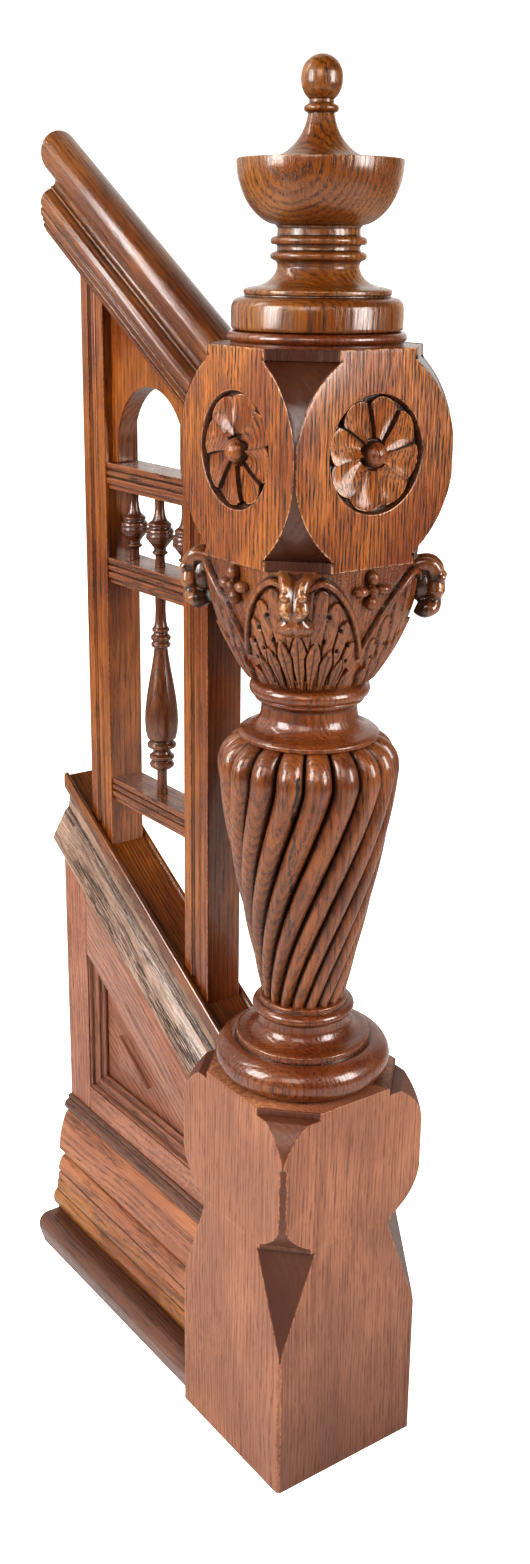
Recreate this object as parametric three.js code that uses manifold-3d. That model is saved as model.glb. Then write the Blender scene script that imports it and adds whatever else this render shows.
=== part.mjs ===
// Carved oak newel post with the short run of stair balustrade that is joined to it.
// Millimetres, +Z up. The post's axis is x = 0, y = 0 and the floor is z = 0.
// The balustrade runs away along +Y and climbs with the stair. -X and -Y are the show faces.

import * as THREE from 'three';
import { mergeVertices } from 'three/addons/utils/BufferGeometryUtils.js';
import Module from 'manifold-3d';

const wasm = await Module();
wasm.setup();

// Newel post: blocks
const blockHalf = 102;
const baseTop = 497;
const baseTopChamfer = 55;
const baseLobeZ = 420;
const baseWaistZ = 324;
const baseWaistChamfer = 43;
const baseSpurChamfer = 50;
const baseSpurTipZ = 187;
const headBottom = 1106.6;
const headTop = 1322.7;
const headMidZ = 1214;
const headTopChamfer = 54;
const headBottomChamfer = 49;
const headBand = 11;
const headBandProud = 2.5;

// Newel post: turned parts
const turnedSides = 20;
const torusRadius = 102;
const torusHalfHeight = 22;
const lowerNeckRadius = 52;
const footRingRadius = 59;
const vaseFootZ = 590;
const vaseWidestZ = 869;
const vaseTopZ = 908;
const vaseFootRadius = 47;
const vaseWidestRadius = 101;
const vaseLobes = 18;
const sidesPerLobe = 3;
const vaseTwistDegrees = 77;
const vaseGrooveShare = 0.12;
const discRadius = 78;
const discZ = 909;
const upperNeckRadius = 52.4;
const collarRadius = 66;
const collarZ = 960;

// Newel post: leaf capital
const bellBottom = 970;
const bellNeckRadius = 59;
const bellFaceReach = 97;
const bellCornerReach = 112;
const leafValleyAngle = 44;
const leafPeakAngle = 13;
const leafValleyZ = 1022;
const leafPeakZ = 1095;
const leafDip = 15;
const leafProud = 5;
const leafFingers = 6;
const leafRows = 6;
const leafColumns = 16;
const ribbonWidth = 8;
const ribbonProud = 5;
const curlRadius = 24;
const curlHalfHeight = 29;
const curlOut = 119;
const curlZ = 1081;
const curlHalfWidth = 13;
const curlSpread = 8;
const flowerZ = 1085;
const flowerSpread = 12;
const flowerPetal = 7;

// Newel post: rosettes
const rosetteZ = 1221;
const rosetteRadius = 59;
const rosetteDepth = 9;
const rosettePetals = 8;
const bossRadius = 13;
const petalTilt = 4.5;
const petalOverlap = 0.08;
const petalStartDegrees = 5;

// Finial
const seatGap = 0.3;
const seatRingHeight = 14;
const seatRingRadius = 92;
const drumRadius = 87.6;
const drumHeight = 36;
const finialNeckRadius = 41.5;
const finialNeckHeight = 63;
const bowlRimRadius = 83.6;
const bowlHeight = 63.8;
const stemRadius = 12.6;
const stemHeight = 40.7;
const ballRadius = 20.5;

// Balustrade: the run and its rake
const rakeDegrees = 31.5;
const runEnd = 505;
const floorLineZ = 596;
const floorLineY = 300;
const jointGap = 0.3;

// Balustrade: stiles, cross rails and spindles
const stileHalf = 24;
const stileDepth = 52;
const stileNearY = 165;
const stileFarY = 394;
const reedDepth = 4;
const railRise = 709.5;
const railHeight = 118.5;
const rollRadius = 26.5;
const rollMiddle = -14.5;
const crossRailHalf = 22;
const crossRailHeight = 32;
const spindleSides = 10;
const spindlePitch = 60;
const shortSpindleRadius = 17;
const shortSpindleHeight = 86.4;
const longSpindleRadius = 21;
const longSpindleHeight = 260.4;
const archHalf = 13;
const archLegWidth = 12.2;
const archSpringRise = 21;
const archShoulderHeight = 94.6;

// Balustrade: the string below the stiles
const stringHalf = 37;
const troughHalf = 34;
const troughThick = 24;
const troughLip = 4;
const capReach = 53;
const capDrop = 91;
const rakeRailDrop = 211;
const stringStileWidth = 57;
const openingSetBack = 7.3;
const panelHalf = 20;
const mouldingWidth = 26;
const fieldProud = 5.5;
const fieldWidth = 77;
const fieldSetBack = 62;
const fieldRise = 58;

// Balustrade: skirting on the show side
const skirtTop = 232;
const skirtCapFoot = 206;
const skirtBoardFoot = 134;
const skirtBeadTop = 97;
const shoeTop = 48;

const rake = Math.tan(THREE.MathUtils.degToRad(rakeDegrees));
const diagonal = Math.SQRT2;
const runStart = blockHalf + jointGap;
const stringStileY = runEnd - stringStileWidth;
const openingNearY = runStart + openingSetBack;
const bottomRailTop = floorLine(openingNearY) - rakeRailDrop - jointGap;
const bayNear = stileNearY + stileDepth + jointGap;
const bayFar = stileFarY - jointGap;
const bayMiddle = (bayNear + bayFar) / 2;
const upperRailTop = floorLine(bayNear) + railRise - archShoulderHeight;
const middleRailTop = upperRailTop - crossRailHeight - shortSpindleHeight - 2 * jointGap;
const lowerRailTop = middleRailTop - crossRailHeight - longSpindleHeight - 2 * jointGap;
const colour = { dark: 0x4a2212, body: 0x5e2f18, amber: 0x7a3f16, base: 0x7a4a34 };

// Height of the stair's rake over the floor, at the foot of the stiles.
function floorLine(y) {
  return floorLineZ + rake * (y - floorLineY);
}

// Volume with sign, so that a body whose faces point inwards can be turned round.
function signedVolume(position, index) {
  const a = new THREE.Vector3();
  const b = new THREE.Vector3();
  const c = new THREE.Vector3();
  let volume = 0;
  for (let i = 0; i < index.length; i += 3) {
    a.fromBufferAttribute(position, index[i]);
    b.fromBufferAttribute(position, index[i + 1]);
    c.fromBufferAttribute(position, index[i + 2]);
    volume += a.dot(b.cross(c)) / 6;
  }
  return volume;
}

function toSolid(geometry) {
  const bare = geometry.clone();
  bare.deleteAttribute('normal');
  bare.deleteAttribute('uv');
  const merged = mergeVertices(bare, 1e-3);
  const index = merged.index.array;
  const inward = signedVolume(merged.attributes.position, index) < 0;
  const triangles = [];
  for (let i = 0; i < index.length; i += 3) {
    const [a, b, c] = [index[i], index[i + 1], index[i + 2]];
    if (a === b || b === c || a === c) continue;
    triangles.push(...(inward ? [a, c, b] : [a, b, c]));
  }
  return new wasm.Manifold(new wasm.Mesh({
    numProp: 3,
    vertProperties: new Float32Array(merged.attributes.position.array),
    triVerts: new Uint32Array(triangles),
  }));
}

function toGeometry(solid) {
  const mesh = solid.getMesh();
  const geometry = new THREE.BufferGeometry();
  geometry.setAttribute('position', new THREE.BufferAttribute(new Float32Array(mesh.vertProperties), 3));
  geometry.setIndex(new THREE.BufferAttribute(new Uint32Array(mesh.triVerts), 1));
  geometry.computeVertexNormals();
  return geometry;
}

function join(solids) {
  return solids.reduce((whole, next) => whole.add(next));
}

// Carved work laid over the bell can close small pockets in. This keeps the outer skin and fills them.
function withoutPockets(solid) {
  return solid.decompose().reduce((best, shell) => (shell.volume() > best.volume() ? shell : best));
}

function outline(points) {
  return new THREE.Shape(points.map(([u, v]) => new THREE.Vector2(u, v)));
}

// A turned body about the z axis from a profile of [radius, z] that starts and ends on the axis.
function turned(profile, sides) {
  const points = profile.map(([radius, z]) => new THREE.Vector2(radius, z));
  return new THREE.LatheGeometry(points, sides).rotateX(Math.PI / 2);
}

// Points on an ellipse arc in the [radius, z] plane. Angles in degrees, 0 points outwards, 90 up.
function arc(centre, radii, from, to, steps) {
  const points = [];
  for (let i = 0; i <= steps; i += 1) {
    const angle = THREE.MathUtils.degToRad(from + (to - from) * i / steps);
    points.push([centre[0] + radii[0] * Math.cos(angle), centre[1] + radii[1] * Math.sin(angle)]);
  }
  return points;
}

// A section in x and z, run along y. With a rake it climbs as the stair does, ends cut plumb.
function run(points, y0, y1, slope = 0) {
  const geometry = new THREE.ExtrudeGeometry(outline(points), { depth: y1 - y0, bevelEnabled: false });
  geometry.rotateX(Math.PI / 2).translate(0, y1, 0);
  const position = geometry.attributes.position;
  for (let i = 0; i < position.count; i += 1) {
    position.setZ(i, position.getZ(i) + slope * (position.getY(i) - floorLineY));
  }
  return geometry;
}

// A board whose outline is drawn in y and z, spread over x.
function board(points, x0, x1) {
  const geometry = new THREE.ExtrudeGeometry(outline(points), { depth: x1 - x0, bevelEnabled: false });
  return geometry.rotateY(Math.PI / 2).rotateX(Math.PI / 2).translate(x0, 0, 0);
}

// Depth of a corner cut whose edge on the face is part of a circle: 0 at zMid, full at zEnd.
function cornerArc(z, zMid, zEnd, full) {
  const height = Math.abs(zEnd - zMid);
  const radius = (height * height + full * full) / (2 * full);
  const rise = Math.abs(z - zMid);
  return radius - Math.sqrt(radius * radius - rise * rise);
}

// A prism across one diagonal of the post. cuts lists [z, corner cut] from bottom to top.
function cornerPrism(cuts, turn) {
  const reach = cuts.map(([z, cut]) => [(2 * blockHalf - cut) / diagonal + (cut === 0 ? 1 : 0), z]);
  const mirrored = reach.map(([s, z]) => [-s, z]).reverse();
  const geometry = new THREE.ExtrudeGeometry(outline([...reach, ...mirrored]), {
    depth: 4 * blockHalf,
    bevelEnabled: false,
  });
  return geometry.rotateX(Math.PI / 2).translate(0, 2 * blockHalf, 0).rotateZ(turn * Math.PI / 4);
}

function block(bottom, top, cuts) {
  const box = new THREE.BoxGeometry(2 * blockHalf, 2 * blockHalf, top - bottom);
  box.translate(0, 0, (top + bottom) / 2);
  return toSolid(box).intersect(toSolid(cornerPrism(cuts, 1))).intersect(toSolid(cornerPrism(cuts, -1)));
}

function cutsAlong(zMid, zEnd, full, steps) {
  const cuts = [];
  for (let i = 0; i <= steps; i += 1) {
    const z = zMid + (zEnd - zMid) * i / steps;
    cuts.push([z, i === 0 ? 0 : cornerArc(z, zMid, zEnd, full)]);
  }
  return cuts;
}

// Corner cuts of the base's lower lobe, upwards: its edge stays full and turns in fast to the waist.
function waistCuts() {
  return [1, 0.87, 0.72, 0.5, 0].map((share) => {
    return [baseLobeZ + (baseWaistZ - baseLobeZ) * share, baseWaistChamfer * share ** 4];
  });
}

function baseBlock() {
  const lowerLobe = waistCuts();
  const upperLobe = cutsAlong(baseLobeZ, baseTop, baseTopChamfer, 4).slice(1);
  const cuts = [[-1, 0], [baseSpurTipZ, 0], [baseWaistZ - 6, baseSpurChamfer],
    [baseWaistZ - 5.9, baseWaistChamfer], ...lowerLobe, ...upperLobe, [baseTop + 1, baseTopChamfer]];
  return block(0, baseTop, cuts);
}

function headBlock() {
  const lower = cutsAlong(headMidZ, headBottom + headBand, headBottomChamfer + headBandProud, 5).reverse();
  const upper = cutsAlong(headMidZ, headTop - headBand, headTopChamfer + headBandProud, 5).slice(1);
  const cuts = [[headBottom - 1, headBottomChamfer], [headBottom + headBand - 0.1, headBottomChamfer],
    ...lower, ...upper, [headTop - headBand + 0.1, headTopChamfer], [headTop + 1, headTopChamfer]];
  return block(headBottom, headTop, cuts);
}

// One petal of a rosette: a sector with a round end, tilted so that its low side runs under the next.
function rosettePetal(number) {
  const step = 2 * Math.PI / rosettePetals;
  const inner = 0.35 * bossRadius;
  const shares = [-petalOverlap, 0, 0.34, 0.68, 1];
  const outer = shares.map((share) => {
    const swell = Math.max(0, Math.sin(Math.PI * share));
    const radius = rosetteRadius * (0.86 + 0.12 * swell ** 0.7);
    return [radius * Math.cos(step * share), radius * Math.sin(step * share)];
  });
  const low = -step * petalOverlap;
  const points = [[inner * Math.cos(low), inner * Math.sin(low)], ...outer,
    [inner * Math.cos(step), inner * Math.sin(step)]];
  const geometry = new THREE.ExtrudeGeometry(outline(points), { depth: 1, bevelEnabled: false });
  const position = geometry.attributes.position;
  for (let i = 0; i < position.count; i += 1) {
    const share = Math.atan2(position.getY(i), position.getX(i)) / step;
    const under = position.getZ(i) < 0.5;
    position.setZ(i, under ? -rosetteDepth - 1 : -rosetteDepth + 3 + petalTilt * share);
  }
  return geometry.rotateZ(THREE.MathUtils.degToRad(petalStartDegrees) + number * step);
}

// A rosette drawn facing +Z with the block's face at z = 0, then stood up on the face named by turn.
function rosetteParts(turn) {
  const place = (geometry) => geometry.rotateX(Math.PI / 2).translate(0, -blockHalf, rosetteZ).rotateZ(turn);
  const recess = new THREE.CylinderGeometry(rosetteRadius, rosetteRadius, rosetteDepth + 5, 16);
  recess.rotateX(Math.PI / 2).translate(0, 0, (5 - rosetteDepth) / 2);
  const petals = [];
  for (let i = 0; i < rosettePetals; i += 1) petals.push(toSolid(place(rosettePetal(i))));
  const boss = new THREE.SphereGeometry(bossRadius, 7, 5);
  boss.translate(0, 0, -4);
  return { recess: toSolid(place(recess)), raised: join([...petals, toSolid(place(boss))]) };
}

// The turned foot of the shaft: torus, cove, neck and the bead ring under the vase.
function shaftFoot() {
  const torusCentre = torusRadius - torusHalfHeight;
  const torusZ = baseTop + torusHalfHeight - 1;
  return turned([
    [0, baseTop - 12], [torusCentre, baseTop - 12],
    ...arc([torusCentre, torusZ], [torusHalfHeight, torusHalfHeight], -90, 90, 5),
    [torusCentre - 2.6, torusZ + torusHalfHeight], [torusCentre - 2.6, torusZ + torusHalfHeight + 8],
    [torusCentre - 12, torusZ + torusHalfHeight + 9],
    ...arc([torusCentre - 10, torusZ + torusHalfHeight + 27], [18, 17], 260, 190, 2),
    [lowerNeckRadius, vaseFootZ - 18],
    ...arc([footRingRadius - 8, vaseFootZ - 10], [8, 7.5], -80, 80, 2),
    [vaseFootRadius + 4.5, vaseFootZ - 1], [vaseFootRadius + 3, vaseFootZ + 3], [0, vaseFootZ + 4],
  ], turnedSides);
}

// Outer radius of the vase over the crown of its lobes.
function vaseRadius(z) {
  if (z > vaseWidestZ) {
    const share = (z - vaseWidestZ) / (vaseTopZ - vaseWidestZ);
    return discRadius - 12 + (vaseWidestRadius - discRadius + 12) * Math.sqrt(Math.max(0, 1 - share * share));
  }
  const share = (z - vaseFootZ) / (vaseWidestZ - vaseFootZ);
  return vaseFootRadius + (vaseWidestRadius - vaseFootRadius) * (1.16 * share - 0.16 * share ** 4);
}

// Share of the twist reached at height z: slow near the shoulder, quicker towards the foot.
function vaseTwist(z) {
  const share = Math.min(1, Math.max(0, (vaseWidestZ - z) / (vaseWidestZ - vaseFootZ)));
  return -THREE.MathUtils.degToRad(vaseTwistDegrees) * share ** 1.25;
}

function vase() {
  const levels = [0, 0.2, 0.4, 0.6, 0.8, 1].map((s) => vaseFootZ + s * (vaseWidestZ - vaseFootZ));
  const shoulder = [0.6, 0.92, 1].map((s) => vaseWidestZ + s * (vaseTopZ - vaseWidestZ));
  const profile = [...levels, ...shoulder].map((z) => [vaseRadius(z), z]);
  const geometry = turned([[0, vaseFootZ], ...profile, [0, vaseTopZ]], sidesPerLobe * vaseLobes);
  const position = geometry.attributes.position;
  for (let i = 0; i < position.count; i += 1) {
    const x = position.getX(i);
    const y = position.getY(i);
    const z = position.getZ(i);
    const lobe = Math.abs(Math.cos(vaseLobes * Math.atan2(y, x) / 2)) ** 0.8;
    const radius = Math.hypot(x, y) * (1 - vaseGrooveShare * (1 - lobe));
    const angle = Math.atan2(y, x) + vaseTwist(z);
    position.setXY(i, radius * Math.cos(angle), radius * Math.sin(angle));
  }
  return geometry;
}

// Disc over the vase, the hollow neck, and the collar under the leaves.
function shaftNeck() {
  return turned([
    [0, discZ - 14], [discRadius - 14, discZ - 14], [discRadius - 1, discZ - 4], [discRadius - 1, discZ + 3],
    [upperNeckRadius + 10, discZ + 12], [upperNeckRadius + 2, discZ + 21], [upperNeckRadius, discZ + 33],
    [upperNeckRadius + 4, discZ + 37], ...arc([collarRadius - 10, collarZ], [10, 10], -75, 85, 4),
    [bellNeckRadius - 3, bellBottom + 3], [0, bellBottom + 3],
  ], turnedSides);
}

// Radius of the capital's plain bell at a height and an angle measured from a corner, in degrees.
function bellRadius(fromCorner, z) {
  const share = Math.min(1, Math.max(0, (z - bellBottom) / (headBottom - bellBottom)));
  const face = bellNeckRadius + (bellFaceReach - bellNeckRadius) * Math.sin(share * Math.PI / 2) ** 0.8;
  const corner = bellNeckRadius + (bellCornerReach - bellNeckRadius) * Math.sin(share * Math.PI / 2) ** 0.85;
  const towardsCorner = Math.abs(Math.cos(THREE.MathUtils.degToRad(2 * fromCorner))) ** 1.5;
  return face + (corner - face) * towardsCorner;
}

// Height of the leaf's edge over the bell: an arch from each valley to a peak, dipping at the tip.
function leafEdgeZ(fromCorner) {
  const away = Math.abs(fromCorner);
  if (away > leafPeakAngle) {
    const share = (away - leafPeakAngle) / (leafValleyAngle - leafPeakAngle);
    return leafValleyZ + (leafPeakZ - leafValleyZ) * (1 - share ** 1.6);
  }
  return leafPeakZ - leafDip * ((leafPeakAngle - away) / leafPeakAngle) ** 1.6;
}

// Height of one row of the carving at an angle from the corner. Rows follow the leaf's curved edge.
function carvedRowZ(row, edge) {
  if (row <= leafRows) return bellBottom + (edge - ribbonWidth - bellBottom) * (row / leafRows);
  const above = [edge - ribbonWidth + 1.5, edge - 1.5, edge, (edge + headBottom) / 2, headBottom + 1];
  return Math.min(above[row - leafRows - 1], headBottom + 1);
}

// How far the carving stands off the bell: fingers with cut veins, the raised ribbon, then the ground.
function carvedLift(row, fromCorner) {
  if (row > leafRows) return [ribbonProud, ribbonProud, 0, 0, 0][row - leafRows - 1];
  const share = row / leafRows;
  const lower = share < 0.45;
  const step = 2 * leafValleyAngle / leafFingers;
  const phase = fromCorner / step + (lower ? 0.5 : 0);
  const crown = Math.abs(Math.cos(Math.PI * phase));
  return leafProud * (lower ? 1.2 : 1) * Math.min(1, 6 * share) * (crown - 0.5);
}

// The bell with its four leaves as one skin.
function bell() {
  const rows = leafRows + 5;
  const profile = [];
  for (let row = 0; row <= rows; row += 1) profile.push([1, row]);
  const geometry = turned([[0, 0], ...profile, [0, rows]], 4 * leafColumns);
  const position = geometry.attributes.position;
  for (let i = 0; i < position.count; i += 1) {
    const [x, y, row] = [position.getX(i), position.getY(i), Math.round(position.getZ(i))];
    const angle = THREE.MathUtils.radToDeg(Math.atan2(y, x));
    const fromCorner = THREE.MathUtils.euclideanModulo(angle, 90) - 45;
    const onAxis = Math.hypot(x, y) < 0.5;
    const z = onAxis ? carvedRowZ(row, headBottom) : carvedRowZ(row, leafEdgeZ(fromCorner));
    const radius = onAxis ? 0 : bellRadius(fromCorner, z) + carvedLift(row, fromCorner);
    const turn = THREE.MathUtils.degToRad(angle);
    position.setXYZ(i, radius * Math.cos(turn), radius * Math.sin(turn), z);
  }
  return geometry;
}

// Tip of a leaf rolled outwards and down, cleft in two.
function leafCurl() {
  const parts = [-1, 1].map((side) => {
    const lobe = new THREE.SphereGeometry(1, 8, 6);
    lobe.scale(curlRadius, curlHalfWidth, curlHalfHeight).translate(curlOut, side * curlSpread, curlZ);
    return toSolid(lobe.rotateZ(-3 * Math.PI / 4));
  });
  return join(parts);
}

function flower() {
  const parts = [];
  for (let i = 0; i < 4; i += 1) {
    const petal = new THREE.SphereGeometry(1, 5, 3);
    petal.scale(5, flowerPetal * 0.8, flowerPetal).translate(0, 0, flowerSpread).rotateX(i * Math.PI / 2);
    parts.push(petal);
  }
  parts.push(new THREE.SphereGeometry(5.5, 5, 3));
  const place = (geometry) => geometry.translate(bellFaceReach - 1, 0, flowerZ).rotateZ(-Math.PI / 2);
  return join(parts.map((part) => toSolid(place(part))));
}

function capital() {
  const quarter = leafCurl().add(flower());
  const parts = [toSolid(bell())];
  for (let i = 0; i < 4; i += 1) parts.push(quarter.rotate([0, 0, 90 * i]));
  return join(parts);
}

function seatRing() {
  return turned([
    [0, headTop - 5], [seatRingRadius - 3, headTop - 5], [seatRingRadius - 3, headTop + 3],
    ...arc([seatRingRadius - 5, headTop + 8], [5, 5], -60, 75, 2),
    [seatRingRadius - 6, headTop + seatRingHeight], [0, headTop + seatRingHeight],
  ], turnedSides);
}

function newelPost() {
  const carved = [0, -Math.PI / 2, Math.PI / 2].map(rosetteParts);
  let head = headBlock();
  for (const rosette of carved) head = head.subtract(rosette.recess).add(rosette.raised);
  const shaft = [shaftFoot(), vase(), shaftNeck(), seatRing()].map(toSolid);
  return withoutPockets(join([baseBlock(), ...shaft, capital(), head]));
}

// Finial: a drum, a neck with two rings, a bowl, and a ball on a stem that rises out of the bowl.
function finial() {
  const seat = headTop + seatRingHeight + seatGap;
  const neckFoot = seat + drumHeight;
  const bowlFoot = neckFoot + finialNeckHeight;
  const rim = bowlFoot + bowlHeight;
  const stemTop = rim + stemHeight;
  const ballZ = stemTop + 1.7 * ballRadius;
  const neckShares = [[1.35, 0.1], [1.08, 0.21], [1, 0.35], [1.02, 0.48], [1.16, 0.54], [1.16, 0.62], [1, 0.68],
    [1.16, 0.76], [1.16, 0.84], [1, 0.92], [1, 1]];
  const neck = neckShares.map(([r, up]) => [r * finialNeckRadius, neckFoot + up * finialNeckHeight]);
  const stemShares = [[0.55, 0.15], [0.42, 0.31], [0.26, 0.61]];
  const stem = stemShares.map(([r, up]) => [r * bowlRimRadius, rim + up * stemHeight]);
  const ringRadius = 1.35 * stemRadius;
  return toSolid(turned([
    [0, seat], [drumRadius, seat], [drumRadius, seat + 0.67 * drumHeight],
    [0.936 * drumRadius, seat + 0.9 * drumHeight], [0.833 * drumRadius, neckFoot],
    [0.833 * drumRadius, neckFoot + 0.05 * finialNeckHeight], ...neck,
    ...arc([0.41 * bowlRimRadius, rim], [0.59 * bowlRimRadius, 0.964 * bowlHeight], -76, 0, 6),
    [0.885 * bowlRimRadius, rim - 3.5], [0.72 * bowlRimRadius, rim - 2.5], ...stem, [stemRadius, stemTop],
    [ringRadius, stemTop + 0.17 * ballRadius], [ringRadius, stemTop + 0.44 * ballRadius],
    [stemRadius, stemTop + 0.56 * ballRadius], ...arc([0, ballZ], [ballRadius, ballRadius], -52, 90, 6),
  ], turnedSides));
}

// Handrail section from its underside at 0: grooved fascia, ogee and cove on the show side, the round grip
// set towards that side, and a plain back.
function handrailSection() {
  return [
    [-36, 0], [-38, 3], [-40.5, 8], [-39, 10], [-42, 13], [-40.5, 15], [-43.5, 19], [-44, 27], [-41.5, 29],
    [-43, 33], [-42, 41], [-37, 47], [-29, 51], [-25, 54], [-22, 60],
    ...arc([rollMiddle, railHeight - rollRadius], [rollRadius, rollRadius], 248, -32, 14),
    [6, 68], [7, 60], [11, 54], [18, 51], [24, 46], [26, 39], [26, 4], [24, 0],
  ];
}

function handrail() {
  const section = handrailSection().map(([x, z]) => [x, z + floorLineZ + railRise]);
  return toSolid(run(section, runStart, runEnd, rake));
}

// A square stile: show face reeded, both ends cut to the rake between the trough and the handrail.
function stile(y0) {
  const y1 = y0 + stileDepth;
  const reeds = [[-stileHalf, y0], [-stileHalf, y0 + 0.3 * stileDepth],
    [-stileHalf + reedDepth, y0 + 0.36 * stileDepth], [-stileHalf + 1, y0 + 0.42 * stileDepth],
    [-stileHalf + 1, y0 + 0.58 * stileDepth], [-stileHalf + reedDepth, y0 + 0.64 * stileDepth],
    [-stileHalf, y0 + 0.7 * stileDepth], [-stileHalf, y1]];
  const section = [...reeds, [stileHalf, y1], [stileHalf, y0]];
  const geometry = new THREE.ExtrudeGeometry(outline(section), {
    depth: railRise - 2 * jointGap,
    bevelEnabled: false,
  });
  const position = geometry.attributes.position;
  for (let i = 0; i < position.count; i += 1) {
    position.setZ(i, position.getZ(i) + floorLine(position.getY(i)) + jointGap);
  }
  return toSolid(geometry);
}

// Cross rail with a level top and a reeded show face.
function crossRail(top) {
  const h = crossRailHeight;
  const w = crossRailHalf;
  const reeds = [[-w + 3, 0], [-w + 3, 0.2 * h], [-w, 0.26 * h], [-w, 0.42 * h], [-w + 2.5, 0.48 * h],
    [-w, 0.54 * h], [-w, 0.7 * h], [-w + 2.5, 0.76 * h], [-w, 0.82 * h], [-w, h]];
  const section = [...reeds, [w, h], [w, 0]].map(([x, z]) => [x, z + top - h]);
  return toSolid(run(section, bayNear, bayFar));
}

function archPanel() {
  const foot = upperRailTop + jointGap;
  const radius = (bayFar - bayNear) / 2 - archLegWidth;
  const top = (y) => floorLine(y) + railRise - jointGap;
  const opening = arc([bayMiddle, upperRailTop + archSpringRise], [radius, radius], 180, 0, 14);
  const points = [[bayNear, top(bayNear)], [bayNear, foot], [bayMiddle - radius, foot], ...opening,
    [bayMiddle + radius, foot], [bayFar, foot], [bayFar, top(bayFar)]];
  return toSolid(board(points, -archHalf, archHalf));
}

// Short spindle: a ringed bulb on a thin stem between the upper and middle rails.
function shortSpindle(y) {
  const foot = middleRailTop + jointGap;
  const height = shortSpindleHeight;
  const r = shortSpindleRadius;
  const shares = [[0.35, 0], [0.35, 0.16], [0.62, 0.2], [0.62, 0.25], [0.4, 0.29], [0.75, 0.36], [1, 0.45],
    [0.95, 0.52], [0.72, 0.57], [0.86, 0.61], [0.72, 0.66], [0.42, 0.7], [0.32, 0.8], [0.32, 1]];
  const profile = shares.map(([radius, share]) => [radius * r, foot + share * height]);
  return toSolid(turned([[0, foot], ...profile, [0, foot + height]], spindleSides).translate(0, y, 0));
}

// Long spindle: a pear on a thin stem with rings at its foot and a ringed collar at its head.
function longSpindle(y) {
  const foot = lowerRailTop + jointGap;
  const height = longSpindleHeight;
  const r = longSpindleRadius;
  const shares = [[0.3, 0], [0.3, 0.13], [0.72, 0.16], [0.78, 0.18], [0.5, 0.21], [0.86, 0.24], [0.86, 0.27],
    [0.6, 0.29], [0.9, 0.33], [1, 0.39], [0.86, 0.48], [0.55, 0.62], [0.38, 0.73], [0.58, 0.75],
    [0.58, 0.79], [0.42, 0.81], [0.5, 0.83], [0.34, 0.86], [0.3, 1]];
  const profile = shares.map(([radius, share]) => [radius * r, foot + share * height]);
  return toSolid(turned([[0, foot], ...profile, [0, foot + height]], spindleSides).translate(0, y, 0));
}

// Trough board that the stiles stand in: a shallow channel with a rounded lip along each edge.
function stringTrough() {
  const inner = stileHalf + 2;
  const left = [[-inner, 0], [-inner - 1, troughLip], [-troughHalf + 3, troughLip], [-troughHalf, -2],
    [-troughHalf, -16], [-troughHalf + 4, -20], [-troughHalf + 6, -troughThick]];
  const right = left.map(([x, z]) => [-x, z]).reverse();
  const section = [...left, ...right].map(([x, z]) => [x, z + floorLineZ]);
  return toSolid(run(section, runStart, runEnd, rake));
}

// Cap under the trough: a broad bevel that throws out over the show face of the string.
function stringCap() {
  const top = -troughThick - jointGap;
  const section = [[-troughHalf + 10, top], [-troughHalf + 10, top - 22], [-capReach, -capDrop + 6],
    [-capReach, -capDrop], [stringHalf, -capDrop], [stringHalf, top]].map(([x, z]) => [x, z + floorLineZ]);
  return toSolid(run(section, runStart, runEnd, rake));
}

function stringStile() {
  const near = stringStileY + jointGap;
  const top = (y) => floorLine(y) - capDrop - jointGap;
  return toSolid(board([[near, 0], [runEnd, 0], [runEnd, top(runEnd)], [near, top(near)]],
    -stringHalf, stringHalf));
}

function stringRakingRail() {
  const top = (y) => floorLine(y) - capDrop - jointGap;
  const foot = (y) => floorLine(y) - rakeRailDrop;
  const points = [[runStart, top(runStart)], [runStart, foot(openingNearY)], [openingNearY, foot(openingNearY)],
    [stringStileY, foot(stringStileY)], [stringStileY, top(stringStileY)]];
  return toSolid(board(points, -stringHalf, stringHalf));
}

function stringBottomRail() {
  const points = [[runStart, 0], [stringStileY, 0], [stringStileY, bottomRailTop], [runStart, bottomRailTop]];
  return toSolid(board(points, -stringHalf, stringHalf));
}

// Opening under the raking rail: its foot corners and the height of its far upright side.
function openingCorners() {
  const foot = bottomRailTop + jointGap;
  const underRail = (y) => floorLine(y) - rakeRailDrop - jointGap;
  const nearY = openingNearY + jointGap / rake;
  const farY = stringStileY - jointGap;
  return { foot, nearY, farY, underRail };
}

// Thin panel that fills the triangular opening, with a small raised triangular field on its face.
function stringPanel() {
  const { foot, nearY, farY, underRail } = openingCorners();
  const panel = toSolid(board([[nearY, foot], [farY, foot], [farY, underRail(farY)]], -panelHalf, panelHalf));
  const fieldFarY = stringStileY - fieldSetBack;
  const fieldNearY = fieldFarY - fieldWidth;
  const fieldFoot = foot + fieldRise;
  const field = [[fieldNearY, fieldFoot], [fieldFarY, fieldFoot], [fieldFarY, fieldFoot + rake * fieldWidth]];
  return panel.add(toSolid(board(field, -panelHalf - fieldProud, -panelHalf + 1)));
}

// Moulding section from the frame's face down to the panel. depth runs back, width runs inwards.
function mouldingSection() {
  const depth = stringHalf - panelHalf - jointGap;
  const w = mouldingWidth;
  return [[0, 0], [0, 0.86 * depth], [0.1 * w, 0.96 * depth], [0.2 * w, 0.9 * depth], [0.26 * w, 0.66 * depth],
    [0.42 * w, 0.52 * depth], [0.6 * w, 0.54 * depth], [0.68 * w, 0.68 * depth], [0.8 * w, 0.62 * depth],
    [0.88 * w, 0.34 * depth], [w, 0.28 * depth], [w, 0]];
}

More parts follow.
